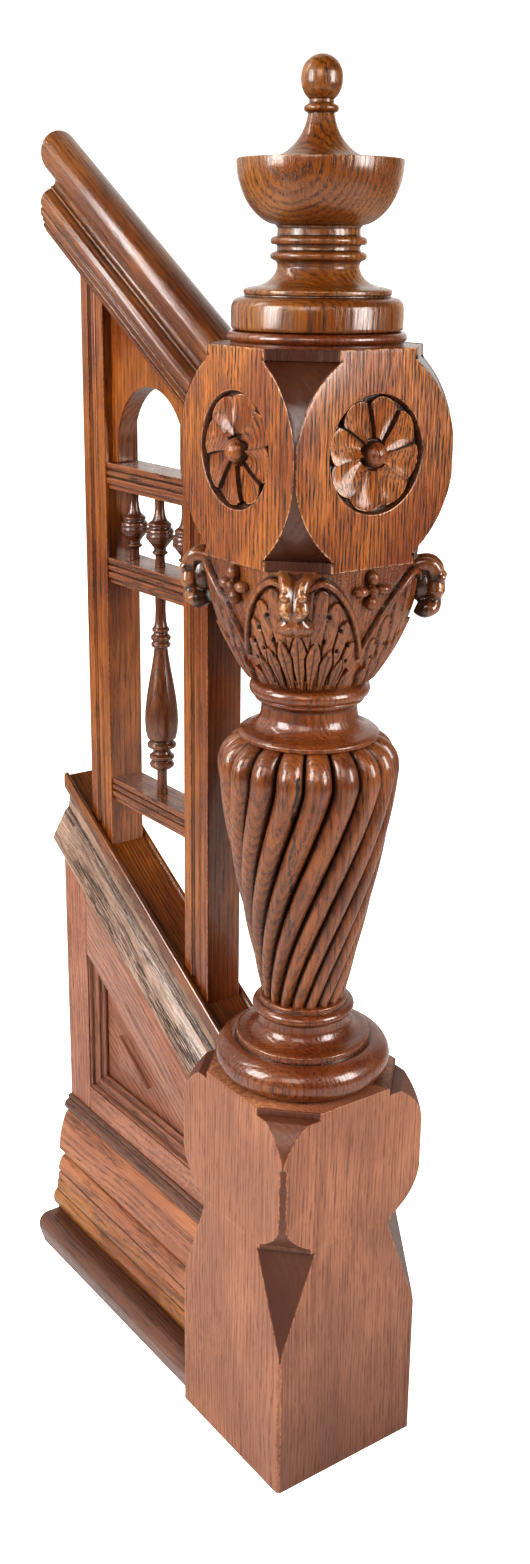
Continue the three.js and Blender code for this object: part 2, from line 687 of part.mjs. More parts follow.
// Upright moulding on the far side of the panel, its head cut to the rake.
function panelMouldingUpright() {
  const { foot, farY, underRail } = openingCorners();
  const section = mouldingSection().map(([w, d]) => [-panelHalf - jointGap - d, farY - w]);
  const geometry = new THREE.ExtrudeGeometry(outline(section), { depth: 1, bevelEnabled: false });
  const position = geometry.attributes.position;
  for (let i = 0; i < position.count; i += 1) {
    const y = position.getY(i);
    const into = farY - y;
    position.setZ(i, position.getZ(i) > 0.5 ? underRail(y) : foot + into + jointGap);
  }
  return toSolid(geometry);
}

// Moulding along the foot of the panel, mitred to the upright one and run out under the rail.
function panelMouldingFoot() {
  const { foot, nearY, farY } = openingCorners();
  const section = mouldingSection().map(([w, d]) => [-panelHalf - jointGap - d, foot + w]);
  const geometry = new THREE.ExtrudeGeometry(outline(section), { depth: 1, bevelEnabled: false });
  geometry.rotateX(Math.PI / 2);
  const position = geometry.attributes.position;
  for (let i = 0; i < position.count; i += 1) {
    const into = position.getZ(i) - foot;
    const far = position.getY(i) > -0.5;
    position.setY(i, far ? farY - into : nearY + into / rake);
  }
  return toSolid(geometry);
}

// Skirting pieces on the show side. Each section is listed outwards from the string's face.
function skirting(points) {
  const back = -stringHalf - jointGap;
  const foot = points[points.length - 1][1];
  const section = [[back, points[0][1]], ...points, [back, foot]];
  return toSolid(run(section, runStart, runEnd));
}

function skirtingCap() {
  return skirting([[-40, skirtTop], [-43, skirtTop - 3], [-43.5, skirtTop - 8],
    ...arc([-43.5, skirtCapFoot + 9], [5, 7], 110, 250, 4), [-42, skirtCapFoot + jointGap]]);
}

function skirtingBoard() {
  return skirting([[-44, skirtCapFoot], [-52, skirtCapFoot - 16], [-57, skirtCapFoot - 33],
    [-59.5, skirtCapFoot - 48], [-60, skirtCapFoot - 59], [-52, skirtCapFoot - 66],
    [-52, skirtBoardFoot + jointGap]]);
}

function skirtingStep() {
  return skirting([[-54, skirtBoardFoot], [-58, skirtBoardFoot - 4], [-62, skirtBoardFoot - 12],
    [-62, skirtBoardFoot - 22], [-59.5, skirtBoardFoot - 24], [-62, skirtBoardFoot - 27],
    [-63, skirtBeadTop + jointGap]]);
}

function skirtingBead() {
  const middle = (skirtBeadTop + shoeTop) / 2;
  return skirting([[-63, skirtBeadTop], [-65, skirtBeadTop - 9],
    ...arc([-62, middle - 5], [9, 13], 105, 255, 5), [-64, shoeTop + jointGap]]);
}

function skirtingShoe() {
  return skirting([[-72, shoeTop], ...arc([-84, shoeTop - 17], [13.5, 17], 95, 215, 6), [-90, 8], [-86, 0]]);
}

const model = new THREE.Group();

function addPiece(name, solid, tint, roughness) {
  const material = new THREE.MeshStandardMaterial({ color: tint, roughness, metalness: 0 });
  const mesh = new THREE.Mesh(toGeometry(solid), material);
  mesh.name = name;
  model.add(mesh);
}

addPiece('newel_post', newelPost(), colour.body, 0.35);
addPiece('finial', finial(), colour.amber, 0.3);
addPiece('handrail', handrail(), colour.amber, 0.3);
addPiece('stile_near', stile(stileNearY), colour.amber, 0.4);
addPiece('stile_far', stile(stileFarY), colour.amber, 0.4);
addPiece('arch_panel', archPanel(), colour.body, 0.4);
addPiece('rail_upper', crossRail(upperRailTop), colour.body, 0.45);
addPiece('rail_middle', crossRail(middleRailTop), colour.body, 0.45);
addPiece('rail_lower', crossRail(lowerRailTop), colour.body, 0.45);
for (let i = 0; i < 3; i += 1) {
  addPiece(`spindle_short_${i + 1}`, shortSpindle(bayMiddle + (i - 1) * spindlePitch), colour.dark, 0.35);
}
addPiece('spindle_long', longSpindle(bayMiddle), colour.dark, 0.35);
addPiece('string_trough', stringTrough(), colour.amber, 0.4);
addPiece('string_cap', stringCap(), colour.body, 0.45);
addPiece('string_stile', stringStile(), colour.base, 0.5);
addPiece('string_raking_rail', stringRakingRail(), colour.base, 0.5);
addPiece('string_bottom_rail', stringBottomRail(), colour.base, 0.5);
addPiece('string_panel', stringPanel(), colour.base, 0.5);
addPiece('panel_moulding_upright', panelMouldingUpright(), colour.dark, 0.45);
addPiece('panel_moulding_foot', panelMouldingFoot(), colour.dark, 0.45);
addPiece('skirting_cap', skirtingCap(), colour.dark, 0.45);
addPiece('skirting_board', skirtingBoard(), colour.base, 0.5);
addPiece('skirting_step', skirtingStep(), colour.base, 0.5);
addPiece('skirting_bead', skirtingBead(), colour.amber, 0.4);
addPiece('skirting_shoe', skirtingShoe(), colour.dark, 0.5);

export default model;
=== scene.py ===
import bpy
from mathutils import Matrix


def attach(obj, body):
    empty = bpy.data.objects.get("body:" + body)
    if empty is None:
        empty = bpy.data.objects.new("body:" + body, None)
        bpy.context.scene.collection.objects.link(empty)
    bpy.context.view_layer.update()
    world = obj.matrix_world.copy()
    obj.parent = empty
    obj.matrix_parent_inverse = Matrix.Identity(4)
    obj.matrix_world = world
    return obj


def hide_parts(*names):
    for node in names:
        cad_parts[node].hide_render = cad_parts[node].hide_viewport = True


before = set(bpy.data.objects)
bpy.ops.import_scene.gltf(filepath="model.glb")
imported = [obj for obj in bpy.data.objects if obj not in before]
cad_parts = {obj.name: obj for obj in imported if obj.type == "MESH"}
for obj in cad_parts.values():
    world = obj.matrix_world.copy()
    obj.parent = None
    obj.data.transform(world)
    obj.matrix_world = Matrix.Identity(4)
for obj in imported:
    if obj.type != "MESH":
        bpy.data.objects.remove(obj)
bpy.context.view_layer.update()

import math

import bpy
import numpy as np

# Square base of the post: the foot of one oak timber that the whole shaft is turned and carved from.
# Each corner is sawn back to a shield above the waist and to a long inverted spur below it, with a
# narrow ledge between them. The face on the right is darkened by smoke near the floor.
MM = 0.001
block_half = 102
base_top = 497
base_top_cut = 55
lobe_top_z = 431
lobe_z = 420
waist_z = 324
waist_cut = 43
ledge_z = 318
spur_cut = 49
spur_tip_z = 187
arris = 1.2
least_cut = 1.6
front_wear = 6.5
smoke_foot_z = 230
smoke_top_z = 420
points_a_corner = 10
hard_edge_degrees = 38


def build_mesh(name, points, faces, edge=None, dark=None, punched=None):
    """A mesh from points in millimetres. edge is 1 on a worn arris and -1 in a quirk, where it paints shade.
    """
    mesh = bpy.data.meshes.new(name)
    points = np.asarray(points, float).reshape(-1, 3) * MM
    mesh.from_pydata(points.tolist(), [], [list(map(int, face)) for face in faces])
    for label, values in (("edge", edge), ("dark", dark), ("punched", punched)):
        layer = mesh.attributes.new(label, "FLOAT", "POINT")
        if values is not None:
            layer.data.foreach_set("value", np.ravel(values).astype(np.float32))
    mesh.validate()
    mesh.shade_smooth()
    mesh.set_sharp_from_angle(angle=math.radians(hard_edge_degrees))
    made = bpy.data.objects.new(name, mesh)
    bpy.context.scene.collection.objects.link(made)
    return made


def grid_faces(rows, columns, wrap=True, first=0):
    """Quads between neighbouring rows of points, closed round each row where wrap is true."""
    row = np.arange(rows - 1)[:, None]
    column = np.arange(columns if wrap else columns - 1)[None, :]
    after = (column + 1) % columns
    corners = [row * columns + column, row * columns + after,
               (row + 1) * columns + after, (row + 1) * columns + column]
    return (np.stack([np.broadcast_to(c, (rows - 1, column.shape[1])) for c in corners], -1)
            .reshape(-1, 4) + first).tolist()


def end_faces(rows, columns):
    """The two faces that close a body of rings, at its first and its last ring."""
    return [list(range(columns))[::-1], list(range((rows - 1) * columns, rows * columns))]


def skin(name, rings, edge, dark=None, punched=None):
    """A closed body over rings of points, each ring a level of the same number of points."""
    rings = np.asarray(rings, float)
    rows, columns = rings.shape[:2]
    return build_mesh(name, rings, grid_faces(rows, columns) + end_faces(rows, columns), edge, dark, punched)


def soften(outline, radius=arris, margin=3.5, closed=True, corner_degrees=14):
    """Rounds the corners of an outline. Returns its points and how sharp each one was, hollow negative,
    which paints shade into the hollow corners.
    """
    outline = np.asarray(outline, float)
    if closed:
        turned_on = np.roll(outline, -1, 0)
        if np.sum(outline[:, 0] * turned_on[:, 1] - outline[:, 1] * turned_on[:, 0]) < 0:
            outline = outline[::-1]
    count = len(outline)
    points = []
    edge = []
    for i in range(count):
        here = outline[i]
        if not closed and i in (0, count - 1):
            points.append(here)
            edge.append(0)
            continue
        before = outline[i - 1] - here
        after = outline[(i + 1) % count] - here
        lengths = [np.hypot(*before), np.hypot(*after)]
        before, after = before / lengths[0], after / lengths[1]
        cross = -before[0] * after[1] + before[1] * after[0]
        turn = math.degrees(math.atan2(cross, -before @ after))
        if abs(turn) < corner_degrees:
            points.append(here)
            edge.append(0)
            continue
        sharpness = max(-1, min(1, turn / 60))
        near = [min(radius, 0.28 * length) for length in lengths]
        far = [min(margin, 0.46 * length) for length in lengths]
        points += [here + before * far[0], here + before * near[0],
                   here + (before * near[0] + after * near[1]) / 4,
                   here + after * near[1], here + after * far[1]]
        edge += [0, sharpness * 0.7, sharpness, sharpness * 0.7, 0]
    return np.array(points), np.array(edge)


def octagon(cut, half=block_half, front_cut=None):
    """A square ring with its four corners cut, starting at the corner that faces the camera."""
    ring = []
    for number, (sx, sy) in enumerate([(-1, -1), (1, -1), (1, 1), (-1, 1)]):
        size = front_cut if number == 0 and front_cut is not None else cut
        size = max(size, least_cut)
        first, second = (sx * half, sy * (half - size)), (sx * (half - size), sy * half)
        ring += [first, second] if number % 2 == 0 else [second, first]
    return ring


def block_skin(name, levels):
    """A block from levels of [z, corner cut, cut at the front corner, inset, edge wear, dark finish]."""
    rings = []
    edges = []
    darks = []
    for z, cut, front_cut, inset, wear, dark in levels:
        outline, edge = soften(octagon(cut, block_half - inset, front_cut), corner_degrees=20)
        rings.append(np.column_stack([outline, np.full(len(outline), z)]))
        edges.append(np.maximum(edge, wear))
        finish = np.zeros(len(outline))
        finish[6:14] = (0.42 * min(1, max(0, (smoke_foot_z - z) / 150))
                        + 0.12 * min(1, max(0, (smoke_top_z - z) / 100)))
        for corner in range(4):
            finish[corner * points_a_corner + 3:corner * points_a_corner + 7] = dark
        darks.append(finish)
    return skin(name, rings, edges, darks)


def lower_lobe_cut(z):
    """Corner cut below the shield's widest level, down to the waist."""
    share = min(1, max(0, (lobe_z - z) / (lobe_z - waist_z)))
    return waist_cut * share ** 4


def upper_lobe_cut(z):
    """Corner cut above the shield's widest level, part of a circle up to the base's top."""
    share = min(1, max(0, (z - lobe_top_z) / (base_top - lobe_top_z)))
    of_circle = 0.93
    return base_top_cut * (1 - math.sqrt(1 - (of_circle * share) ** 2)) / (1 - math.sqrt(1 - of_circle ** 2))


levels = [[0, least_cut, 5, 1.2, 0.6, 0], [0.5, least_cut, 4, 0.4, 0.6, 0], [1.6, least_cut, 3, 0, 0.3, 0]]
for z in np.linspace(8, spur_tip_z - 2, 22):
    ragged = 2.2 + 1.6 * abs(math.sin(z * 0.31) * math.sin(z * 0.083 + 1))
    levels.append([z, least_cut, ragged, 0, 0, 0])
for z in np.linspace(spur_tip_z, ledge_z - 0.6, 14):
    cut = spur_cut * (z - spur_tip_z) / (ledge_z - spur_tip_z)
    levels.append([z, cut, max(cut, 2.6), 0, 0, 1])
levels += [[ledge_z, spur_cut, spur_cut, 0, 0, 1], [ledge_z + 0.3, waist_cut, waist_cut, 0, 0.3, 0.9],
           [waist_z - 1, waist_cut, waist_cut, 0, 0.6, 0.9], [waist_z, waist_cut, waist_cut, 0, 0.5, 0.6]]
for z in np.linspace(waist_z + 0.8, base_top - 9, 44):
    cut = lower_lobe_cut(z) + upper_lobe_cut(z)
    ragged = 1.3 * math.sin(z * 0.21) * math.sin(z * 0.067 + 2) + 0.5 * math.sin(z * 0.93)
    worn = front_wear + ragged if waist_z < z < lobe_top_z + 8 else 0
    levels.append([z, cut, max(cut, worn), 0, 0, 0.75])
shoulder_cut = base_top_cut - 3
for below, inset, wear in ((8.6, 0, 0), (1.2, 0, 0), (0.4, 0.4, 0.6), (0, 1.2, 0.3)):
    levels.append([base_top - below, shoulder_cut, shoulder_cut, inset, wear, 0.9])
base_block = block_skin("base_block", levels)


def new_group(name, inputs, outputs):
    """A shader node group with named sockets. inputs lists [kind, name, value]."""
    group = bpy.data.node_groups.new(name, "ShaderNodeTree")
    for kind, label, value in inputs:
        socket = group.interface.new_socket(label, in_out="INPUT", socket_type="NodeSocket" + kind)
        if value is not None:
            socket.default_value = value
    for kind, label in outputs:
        group.interface.new_socket(label, in_out="OUTPUT", socket_type="NodeSocket" + kind)
    return group, group.nodes.new("NodeGroupInput").outputs, group.nodes.new("NodeGroupOutput").inputs


def feed(tree, socket, value):
    """Joins a socket to another one, or sets it to a plain number, vector or colour."""
    if isinstance(value, bpy.types.NodeSocket):
        tree.links.new(value, socket)
    else:
        socket.default_value = value


def maths(tree, operation, first, second=0.0, clamp=False):
    """A sum on single numbers."""
    node = tree.nodes.new("ShaderNodeMath")
    node.operation = operation
    node.use_clamp = clamp
    feed(tree, node.inputs[0], first)
    feed(tree, node.inputs[1], second)
    return node.outputs[0]


def vector_maths(tree, operation, first, second):
    """A sum on vectors, or the length of one."""
    node = tree.nodes.new("ShaderNodeVectorMath")
    node.operation = operation
    feed(tree, node.inputs[0], first)
    feed(tree, node.inputs[1], second)
    return node.outputs["Value" if operation == "LENGTH" else "Vector"]


def noise(tree, place, scale, detail, roughness=0.5, output="Factor"):
    """Soft random patches, as a number or as a colour."""
    node = tree.nodes.new("ShaderNodeTexNoise")
    feed(tree, node.inputs["Vector"], place)
    feed(tree, node.inputs["Scale"], scale)
    feed(tree, node.inputs["Detail"], detail)
    feed(tree, node.inputs["Roughness"], roughness)
    return node.outputs[0 if output == "Factor" else 1]


def remap(tree, value, low, high, to_low=0.0, to_high=1.0):
    """Carries a number from one range to another with soft ends."""
    node = tree.nodes.new("ShaderNodeMapRange")
    node.interpolation_type = "SMOOTHSTEP"
    for socket, number in zip(node.inputs[:5], (value, low, high, to_low, to_high)):
        feed(tree, socket, number)
    return node.outputs[0]


def blend_colour(tree, share, first, second):
    """Lays the second colour over the first by a share."""
    node = tree.nodes.new("ShaderNodeMix")
    node.data_type = "RGBA"
    feed(tree, node.inputs["Factor"], share)
    feed(tree, node.inputs[6], first)
    feed(tree, node.inputs[7], second)
    return node.outputs[2]


def build_oak_group():
    """Plain-sawn oak under old varnish: rings, open pores, blotches, worn arrises, a darker finish where
    asked, and painted shade in quirks.
    """
    colour = "Color"
    number = "Float"
    tree, given, out = new_group(
        "oak under varnish",
        [["Vector", "Place along grain", None], [colour, "Body", (0.2, 0.07, 0.02, 1)],
         [colour, "Light", (0.35, 0.13, 0.04, 1)], [colour, "Deep", (0.05, 0.015, 0.006, 1)],
         [colour, "Pore", (0.03, 0.009, 0.004, 1)], [colour, "Worn", (0.6, 0.3, 0.12, 1)],
         [colour, "Dirt and shade", (0.02, 0.01, 0.006, 1)], [number, "Ring width", 0.004],
         [number, "Pore strength", 0.8], [number, "Light share", 0.5], [number, "Edge", 0.0],
         [number, "Dark finish and shade", 0.0], [number, "Wear", 0.6], [number, "Gloss", 0.3]],
        [[colour, "Colour"], [number, "Roughness"], [number, "Height"]])
    place = given["Place along grain"]
    drift = noise(tree, vector_maths(tree, "MULTIPLY", place, (1.0, 1.0, 0.25)), 9.0, 2.0, 0.5, "Colour")
    drift = vector_maths(tree, "MULTIPLY", vector_maths(tree, "SUBTRACT", drift, (0.5, 0.5, 0.5)),
                         (0.028, 0.028, 0.0))
    warped = vector_maths(tree, "ADD", place, drift)
    from_pith = vector_maths(tree, "MULTIPLY", vector_maths(tree, "ADD", warped, (0.19, 0.13, 0.0)),
                             (1.0, 1.0, 0.0))
    radius = vector_maths(tree, "LENGTH", from_pith, (0.0, 0.0, 0.0))
    ring = maths(tree, "FRACT", maths(tree, "DIVIDE", radius, given["Ring width"]))
    early = maths(tree, "MULTIPLY", remap(tree, ring, 0.0, 0.12), remap(tree, ring, 0.3, 0.62, 1.0, 0.0))
    pore_lines = noise(tree, vector_maths(tree, "MULTIPLY", warped, (900.0, 900.0, 30.0)), 1.0, 2.0, 0.7)
    pore_share = maths(tree, "MULTIPLY", maths(tree, "ADD", early, 0.42),
                       remap(tree, pore_lines, 0.49, 0.57))
    pore_share = maths(tree, "MULTIPLY", pore_share, given["Pore strength"], clamp=True)
    fibre = noise(tree, vector_maths(tree, "MULTIPLY", warped, (2600.0, 2600.0, 45.0)), 1.0, 1.0)
    streak = noise(tree, vector_maths(tree, "MULTIPLY", warped, (330.0, 330.0, 6.0)), 1.0, 3.0, 0.6)
    blotch = noise(tree, vector_maths(tree, "MULTIPLY", place, (1.0, 1.0, 0.5)), 11.0, 3.0, 0.55)
    light = maths(tree, "MULTIPLY", remap(tree, blotch, 0.38, 0.66), given["Light share"], clamp=True)
    shade = blend_colour(tree, light, given["Body"], given["Light"])
    shade = blend_colour(tree, remap(tree, streak, 0.48, 0.66, 0.0, 0.55), shade, given["Deep"])
    shade = blend_colour(tree, maths(tree, "MULTIPLY", early, 0.16), shade, given["Deep"])
    shade = blend_colour(tree, remap(tree, fibre, 0.45, 0.7, 0.0, 0.25), shade, given["Deep"])
    shade = blend_colour(tree, pore_share, shade, given["Pore"])
    # Darker finish where the dark attribute asks for it, together with painted shade in the punched pits.
    dark = maths(tree, "MULTIPLY", given["Dark finish and shade"], remap(tree, blotch, 0.3, 0.6, 1.0, 0.9))
    shade = blend_colour(tree, dark, shade, given["Dirt and shade"])
    chips = noise(tree, place, 210.0, 2.0, 0.6)
    worn = remap(tree, given["Edge"], 0.35, 1.0)
    worn = maths(tree, "MULTIPLY", worn, remap(tree, chips, 0.42, 0.62))
    worn = maths(tree, "MULTIPLY", worn, given["Wear"], clamp=True)
    shade = blend_colour(tree, worn, shade, given["Worn"])
    # Painted shade: negative edge values darken quirks, grooves and hollows with the dirt colour.
    quirk = remap(tree, given["Edge"], -0.05, -0.75)
    quirk = maths(tree, "MULTIPLY", quirk, remap(tree, chips, 0.3, 0.55, 0.55, 1.0))
    shade = blend_colour(tree, quirk, shade, given["Dirt and shade"])
    feed(tree, out["Colour"], shade)
    rough = maths(tree, "ADD", given["Gloss"], maths(tree, "MULTIPLY", pore_share, 0.22))
    rough = maths(tree, "ADD", rough, remap(tree, blotch, 0.35, 0.7, -0.05, 0.08))
    feed(tree, out["Roughness"], rough)
    height = maths(tree, "MULTIPLY", pore_share, -1.0)
    height = maths(tree, "SUBTRACT", height, maths(tree, "MULTIPLY", early, 0.35))
    height = maths(tree, "ADD", height, maths(tree, "MULTIPLY", fibre, 0.25))
    height = maths(tree, "ADD", height, maths(tree, "MULTIPLY", streak, 0.35))
    bare = maths(tree, "SUBTRACT", 1.0, dark)
    feed(tree, out["Height"], maths(tree, "MULTIPLY", height, bare))
    return tree


oak_group = build_oak_group()
rake_degrees = 31.5
grain_turns = {"up": (0.0, 0.0, 0.0), "along": (math.radians(90), 0.0, 0.0),
               "rake": (math.radians(90 - rake_degrees), 0.0, 0.0)}
stipple_scale = 400.0
pore_depth = 0.0012
varnish_roughness = 0.14


# The dirt colour serves both for a dark finish and for painted shade in quirks and hollows.
def oak(name, grain, body, light, deep, worn=(0.5, 0.24, 0.1), dirt_and_shade=(0.022, 0.011, 0.007), ring=0.0042,
        pores=0.8, light_share=0.6, wear=0.6, gloss=0.3, coat=0.35, bump=0.35, seed=0.0):
    """An oak finish. grain says which way the fibres run: up, along the stair's floor, or up its rake."""
    material = bpy.data.materials.new(name)
    material.use_nodes = True
    tree = material.node_tree
    shader = tree.nodes["Principled BSDF"]
    where = tree.nodes.new("ShaderNodeTexCoord").outputs["Object"]
    turn = tree.nodes.new("ShaderNodeVectorRotate")
    turn.rotation_type = "EULER_XYZ"
    feed(tree, turn.inputs["Vector"], where)
    turn.inputs["Rotation"].default_value = grain_turns[grain]
    placed = vector_maths(tree, "ADD", turn.outputs[0], (0.37 * seed, 0.21 * seed, 0.53 * seed))
    group = tree.nodes.new("ShaderNodeGroup")
    group.node_tree = oak_group
    values = {"Place along grain": placed, "Body": (*body, 1), "Light": (*light, 1), "Deep": (*deep, 1),
              "Pore": (*[0.45 * c for c in deep], 1), "Worn": (*worn, 1), "Dirt and shade": (*dirt_and_shade, 1),
              "Ring width": ring, "Pore strength": pores, "Light share": light_share, "Wear": wear,
              "Gloss": gloss}
    for label, value in values.items():
        feed(tree, group.inputs[label], value)
    marks = {}
    for attribute in ("edge", "dark", "punched"):
        node = tree.nodes.new("ShaderNodeAttribute")
        node.attribute_name = attribute
        marks[attribute] = node.outputs["Fac"]
    stipple = tree.nodes.new("ShaderNodeTexVoronoi")
    feed(tree, stipple.inputs["Vector"], where)
    stipple.inputs["Scale"].default_value = stipple_scale
    from_dot = stipple.outputs["Distance"]
    dots = maths(tree, "MULTIPLY", remap(tree, from_dot, 0.1, 0.5, -1.6, 0.6), marks["punched"])
    # Painted shade in the punched dots, fed in with the dark finish.
    pits = maths(tree, "MULTIPLY", remap(tree, from_dot, 0.1, 0.45, 0.75, 0.0), marks["punched"])
    feed(tree, group.inputs["Edge"], marks["edge"])
    feed(tree, group.inputs["Dark finish and shade"], maths(tree, "ADD", marks["dark"], pits, clamp=True))
    height = maths(tree, "ADD", group.outputs["Height"], dots)
    relief = tree.nodes.new("ShaderNodeBump")
    relief.inputs["Strength"].default_value = bump
    relief.inputs["Distance"].default_value = pore_depth
    feed(tree, relief.inputs["Height"], height)
    feed(tree, shader.inputs["Normal"], relief.outputs["Normal"])
    feed(tree, shader.inputs["Base Color"], group.outputs["Colour"])
    feed(tree, shader.inputs["Roughness"], group.outputs["Roughness"])
    shader.inputs["Coat Weight"].default_value = coat
    shader.inputs["Coat Roughness"].default_value = varnish_roughness
    shader.inputs["Specular IOR Level"].default_value = 0.4
    return material


def dress(piece, material, slot, *nodes):
    """Gives a piece its finish and says which solids of the frame it stands for."""
    piece.data.materials.clear()
    piece.data.materials.append(material)
    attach(piece, "root")
    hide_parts(*nodes)


base_finish = oak("base oak", "up", (0.24, 0.1, 0.053), (0.34, 0.155, 0.085), (0.12, 0.04, 0.02),
                  dirt_and_shade=(0.06, 0.018, 0.009), ring=0.0048, pores=0.4, light_share=0.75, gloss=0.42, coat=0.12,
                  bump=0.22)
dress(base_block, base_finish, "carved_oak", "newel_post")

# Foot of the shaft, turned from the same oak timber as the base: a torus, a dished neck above it
# and the bead ring under the vase.
torus_radius = 102
torus_half = 22
vase_foot_z = 590
vase_foot_radius = 47
round_steps = 112


def arc(centre, radii, first, last, steps):
    """Points on an ellipse in the [radius, z] plane, in degrees: 0 points outwards and 90 up."""
    angles = np.radians(np.linspace(first, last, steps + 1))
    return [[centre[0] + radii[0] * math.cos(a), centre[1] + radii[1] * math.sin(a)] for a in angles]


def turned(name, profile, steps=round_steps, radius=0.8, margin=2.0, centre=(0, 0)):
    """A turned body from a profile of [radius, z] that starts and ends near the axis."""
    profile, edge = soften(profile, radius, margin, closed=False)
    angles = np.linspace(0, 2 * math.pi, steps, endpoint=False)
    rings = np.empty((len(profile), steps, 3))
    rings[:, :, 0] = centre[0] + profile[:, :1] * np.cos(angles)
    rings[:, :, 1] = centre[1] + profile[:, :1] * np.sin(angles)
    rings[:, :, 2] = profile[:, 1:]
    return skin(name, rings, np.repeat(edge[:, None], steps, 1))


torus_centre = torus_radius - torus_half
torus_z = base_top + torus_half - 1
shaft_foot = turned("shaft_foot", [
    [30, base_top - 3], [torus_centre - 4, base_top - 3],
    *arc([torus_centre, torus_z], [torus_half, torus_half], -96, 84, 22),
    [torus_centre - 1.4, torus_z + torus_half - 1], [torus_centre - 2.4, torus_z + torus_half + 6.5],
    [torus_centre - 6, torus_z + torus_half + 8],
    *arc([torus_centre - 9, torus_z + torus_half + 27], [19, 18.5], 262, 192, 9),
    [52, vase_foot_z - 18], [51.6, vase_foot_z - 17],
    *arc([51, vase_foot_z - 10], [8, 7], -80, 84, 10),
    [51.5, vase_foot_z - 2.6], [50.8, vase_foot_z + 2.4], [vase_foot_radius, vase_foot_z + 3.6],
    [30, vase_foot_z + 3.6]])
turned_finish = oak("turned oak", "up", (0.14, 0.036, 0.01), (0.23, 0.07, 0.014), (0.036, 0.0085, 0.0035),
                    ring=0.0045, pores=0.6, light_share=0.7, wear=0.35, gloss=0.24, coat=0.6, bump=0.28)
dress(shaft_foot, turned_finish, "carved_oak", "newel_post")

# Vase of the shaft, in the same oak timber: turned, then carved into eighteen rope-like lobes that
# twist towards the foot. A drying crack runs down its show side, with one chip beside it.
vase_widest_z = 869
vase_top_z = 908
vase_widest_radius = 101
vase_lobes = 18
vase_twist = math.radians(77)
vase_columns = vase_lobes * 20
vase_body_rows = 67
vase_shoulder_rows = 28
disc_radius = 78
crack_bearing = -134
crack_lean = 0.045
crack_half_width = 0.75
crack_depth = 0.012
crack_top_z = 884
crack_foot_z = 690
crack_chip_z = 765


def vase_radius(z):
    """Radius over the lobes' crowns at a height."""
    share = np.clip((z - vase_foot_z) / (vase_widest_z - vase_foot_z), 0, 1)
    body = vase_foot_radius + (vase_widest_radius - vase_foot_radius) * (1.16 * share - 0.16 * share ** 4)
    over = np.clip((z - vase_widest_z) / (vase_top_z - vase_widest_z), 0, 1)
    inner = disc_radius - 12
    shoulder = inner + (vase_widest_radius - inner) * np.sqrt(1 - over ** 2.3)
    return np.where(z > vase_widest_z, shoulder, body)


def vase_rings():
    """The lobed rings of the vase, with painted shade between the lobes and dirt in the crack."""
    shoulder_rise = np.sin(np.linspace(0.03, 0.5, vase_shoulder_rows) * math.pi)
    z = np.concatenate([np.linspace(vase_foot_z - 2, vase_widest_z, vase_body_rows),
                        vase_widest_z + (vase_top_z - vase_widest_z) * shoulder_rise])
    angle = np.linspace(0, 2 * math.pi, vase_columns, endpoint=False)
    share = np.clip((vase_widest_z - z) / (vase_widest_z - vase_foot_z), 0, 1)
    twist = -vase_twist * share ** 1.25
    crown = np.abs(np.cos(vase_lobes * angle / 2))[None, :]
    round_power = np.interp(share, [0, 0.5, 1], [0.5, 0.66, 0.85])[:, None]
    crown = crown ** round_power
    over = np.clip((z - vase_widest_z) / (vase_top_z - vase_widest_z), 0, 1)[:, None]
    deep = 0.15 + 0.08 * over ** 2 - 0.02 * share[:, None]
    radius = vase_radius(z)[:, None] * (1 - deep * (1 - crown))
    where = angle[None, :] + twist[:, None]
    level = np.repeat(z[:, None], len(angle), 1)
    rings = np.stack([radius * np.cos(where), radius * np.sin(where), level], -1)
    # Painted shade between the lobes, darkest at the bottom of each groove.
    edge = np.where(crown < 0.6, (crown - 0.6) * 2.6, 0.0)
    bearing = np.degrees(np.arctan2(rings[..., 1], rings[..., 0]))
    crack = crack_bearing - crack_lean * (crack_top_z - level) + 1.2 * np.sin(level * 0.11)
    near_crack = np.abs(bearing - crack) < crack_half_width
    along_crack = near_crack & (level < crack_top_z) & (level > crack_foot_z)
    rings[..., :2] *= 1 - crack_depth * along_crack[..., None]
    chip = (np.abs(bearing - crack + 1.5) < 1.4) & (np.abs(level - crack_chip_z) < 4)
    return rings, np.where(along_crack, -1.0, np.where(chip, 1.0, edge))


vase_points, vase_edge = vase_rings()
vase = skin("vase", vase_points, vase_edge)
vase_finish = oak("vase oak", "up", (0.15, 0.044, 0.013), (0.28, 0.092, 0.018), (0.035, 0.01, 0.005),
                  ring=0.0046, pores=0.6, light_share=0.75, wear=0.3, gloss=0.27, coat=0.5, bump=0.34)
dress(vase, vase_finish, "carved_oak", "newel_post")

# Neck of the shaft, turned in the same oak timber: a flared disc over the lobes, a hollow neck and
# the collar under the leaves.
disc_z = 909
neck_radius = 52.4
collar_radius = 66
collar_z = 960
bell_bottom = 970
shaft_neck = turned("shaft_neck", [
    [30, disc_z - 8], [62, disc_z - 8], [disc_radius - 4, disc_z - 5], [disc_radius, disc_z - 1.5],
    [disc_radius - 0.2, disc_z + 2], [disc_radius - 3.5, disc_z + 5],
    *arc([neck_radius + 19, disc_z + 27], [18.5, 20], 262, 190, 9),
    [neck_radius, disc_z + 34], [neck_radius + 2, disc_z + 37],
    *arc([collar_radius - 10, collar_z - 8.5], [4.5, 4], -70, 40, 5),
    *arc([collar_radius - 9.5, collar_z + 1], [9.5, 9.2], -60, 84, 12),
    [55, bell_bottom + 3], [30, bell_bottom + 3]])
dress(shaft_neck, turned_finish, "carved_oak", "newel_post")

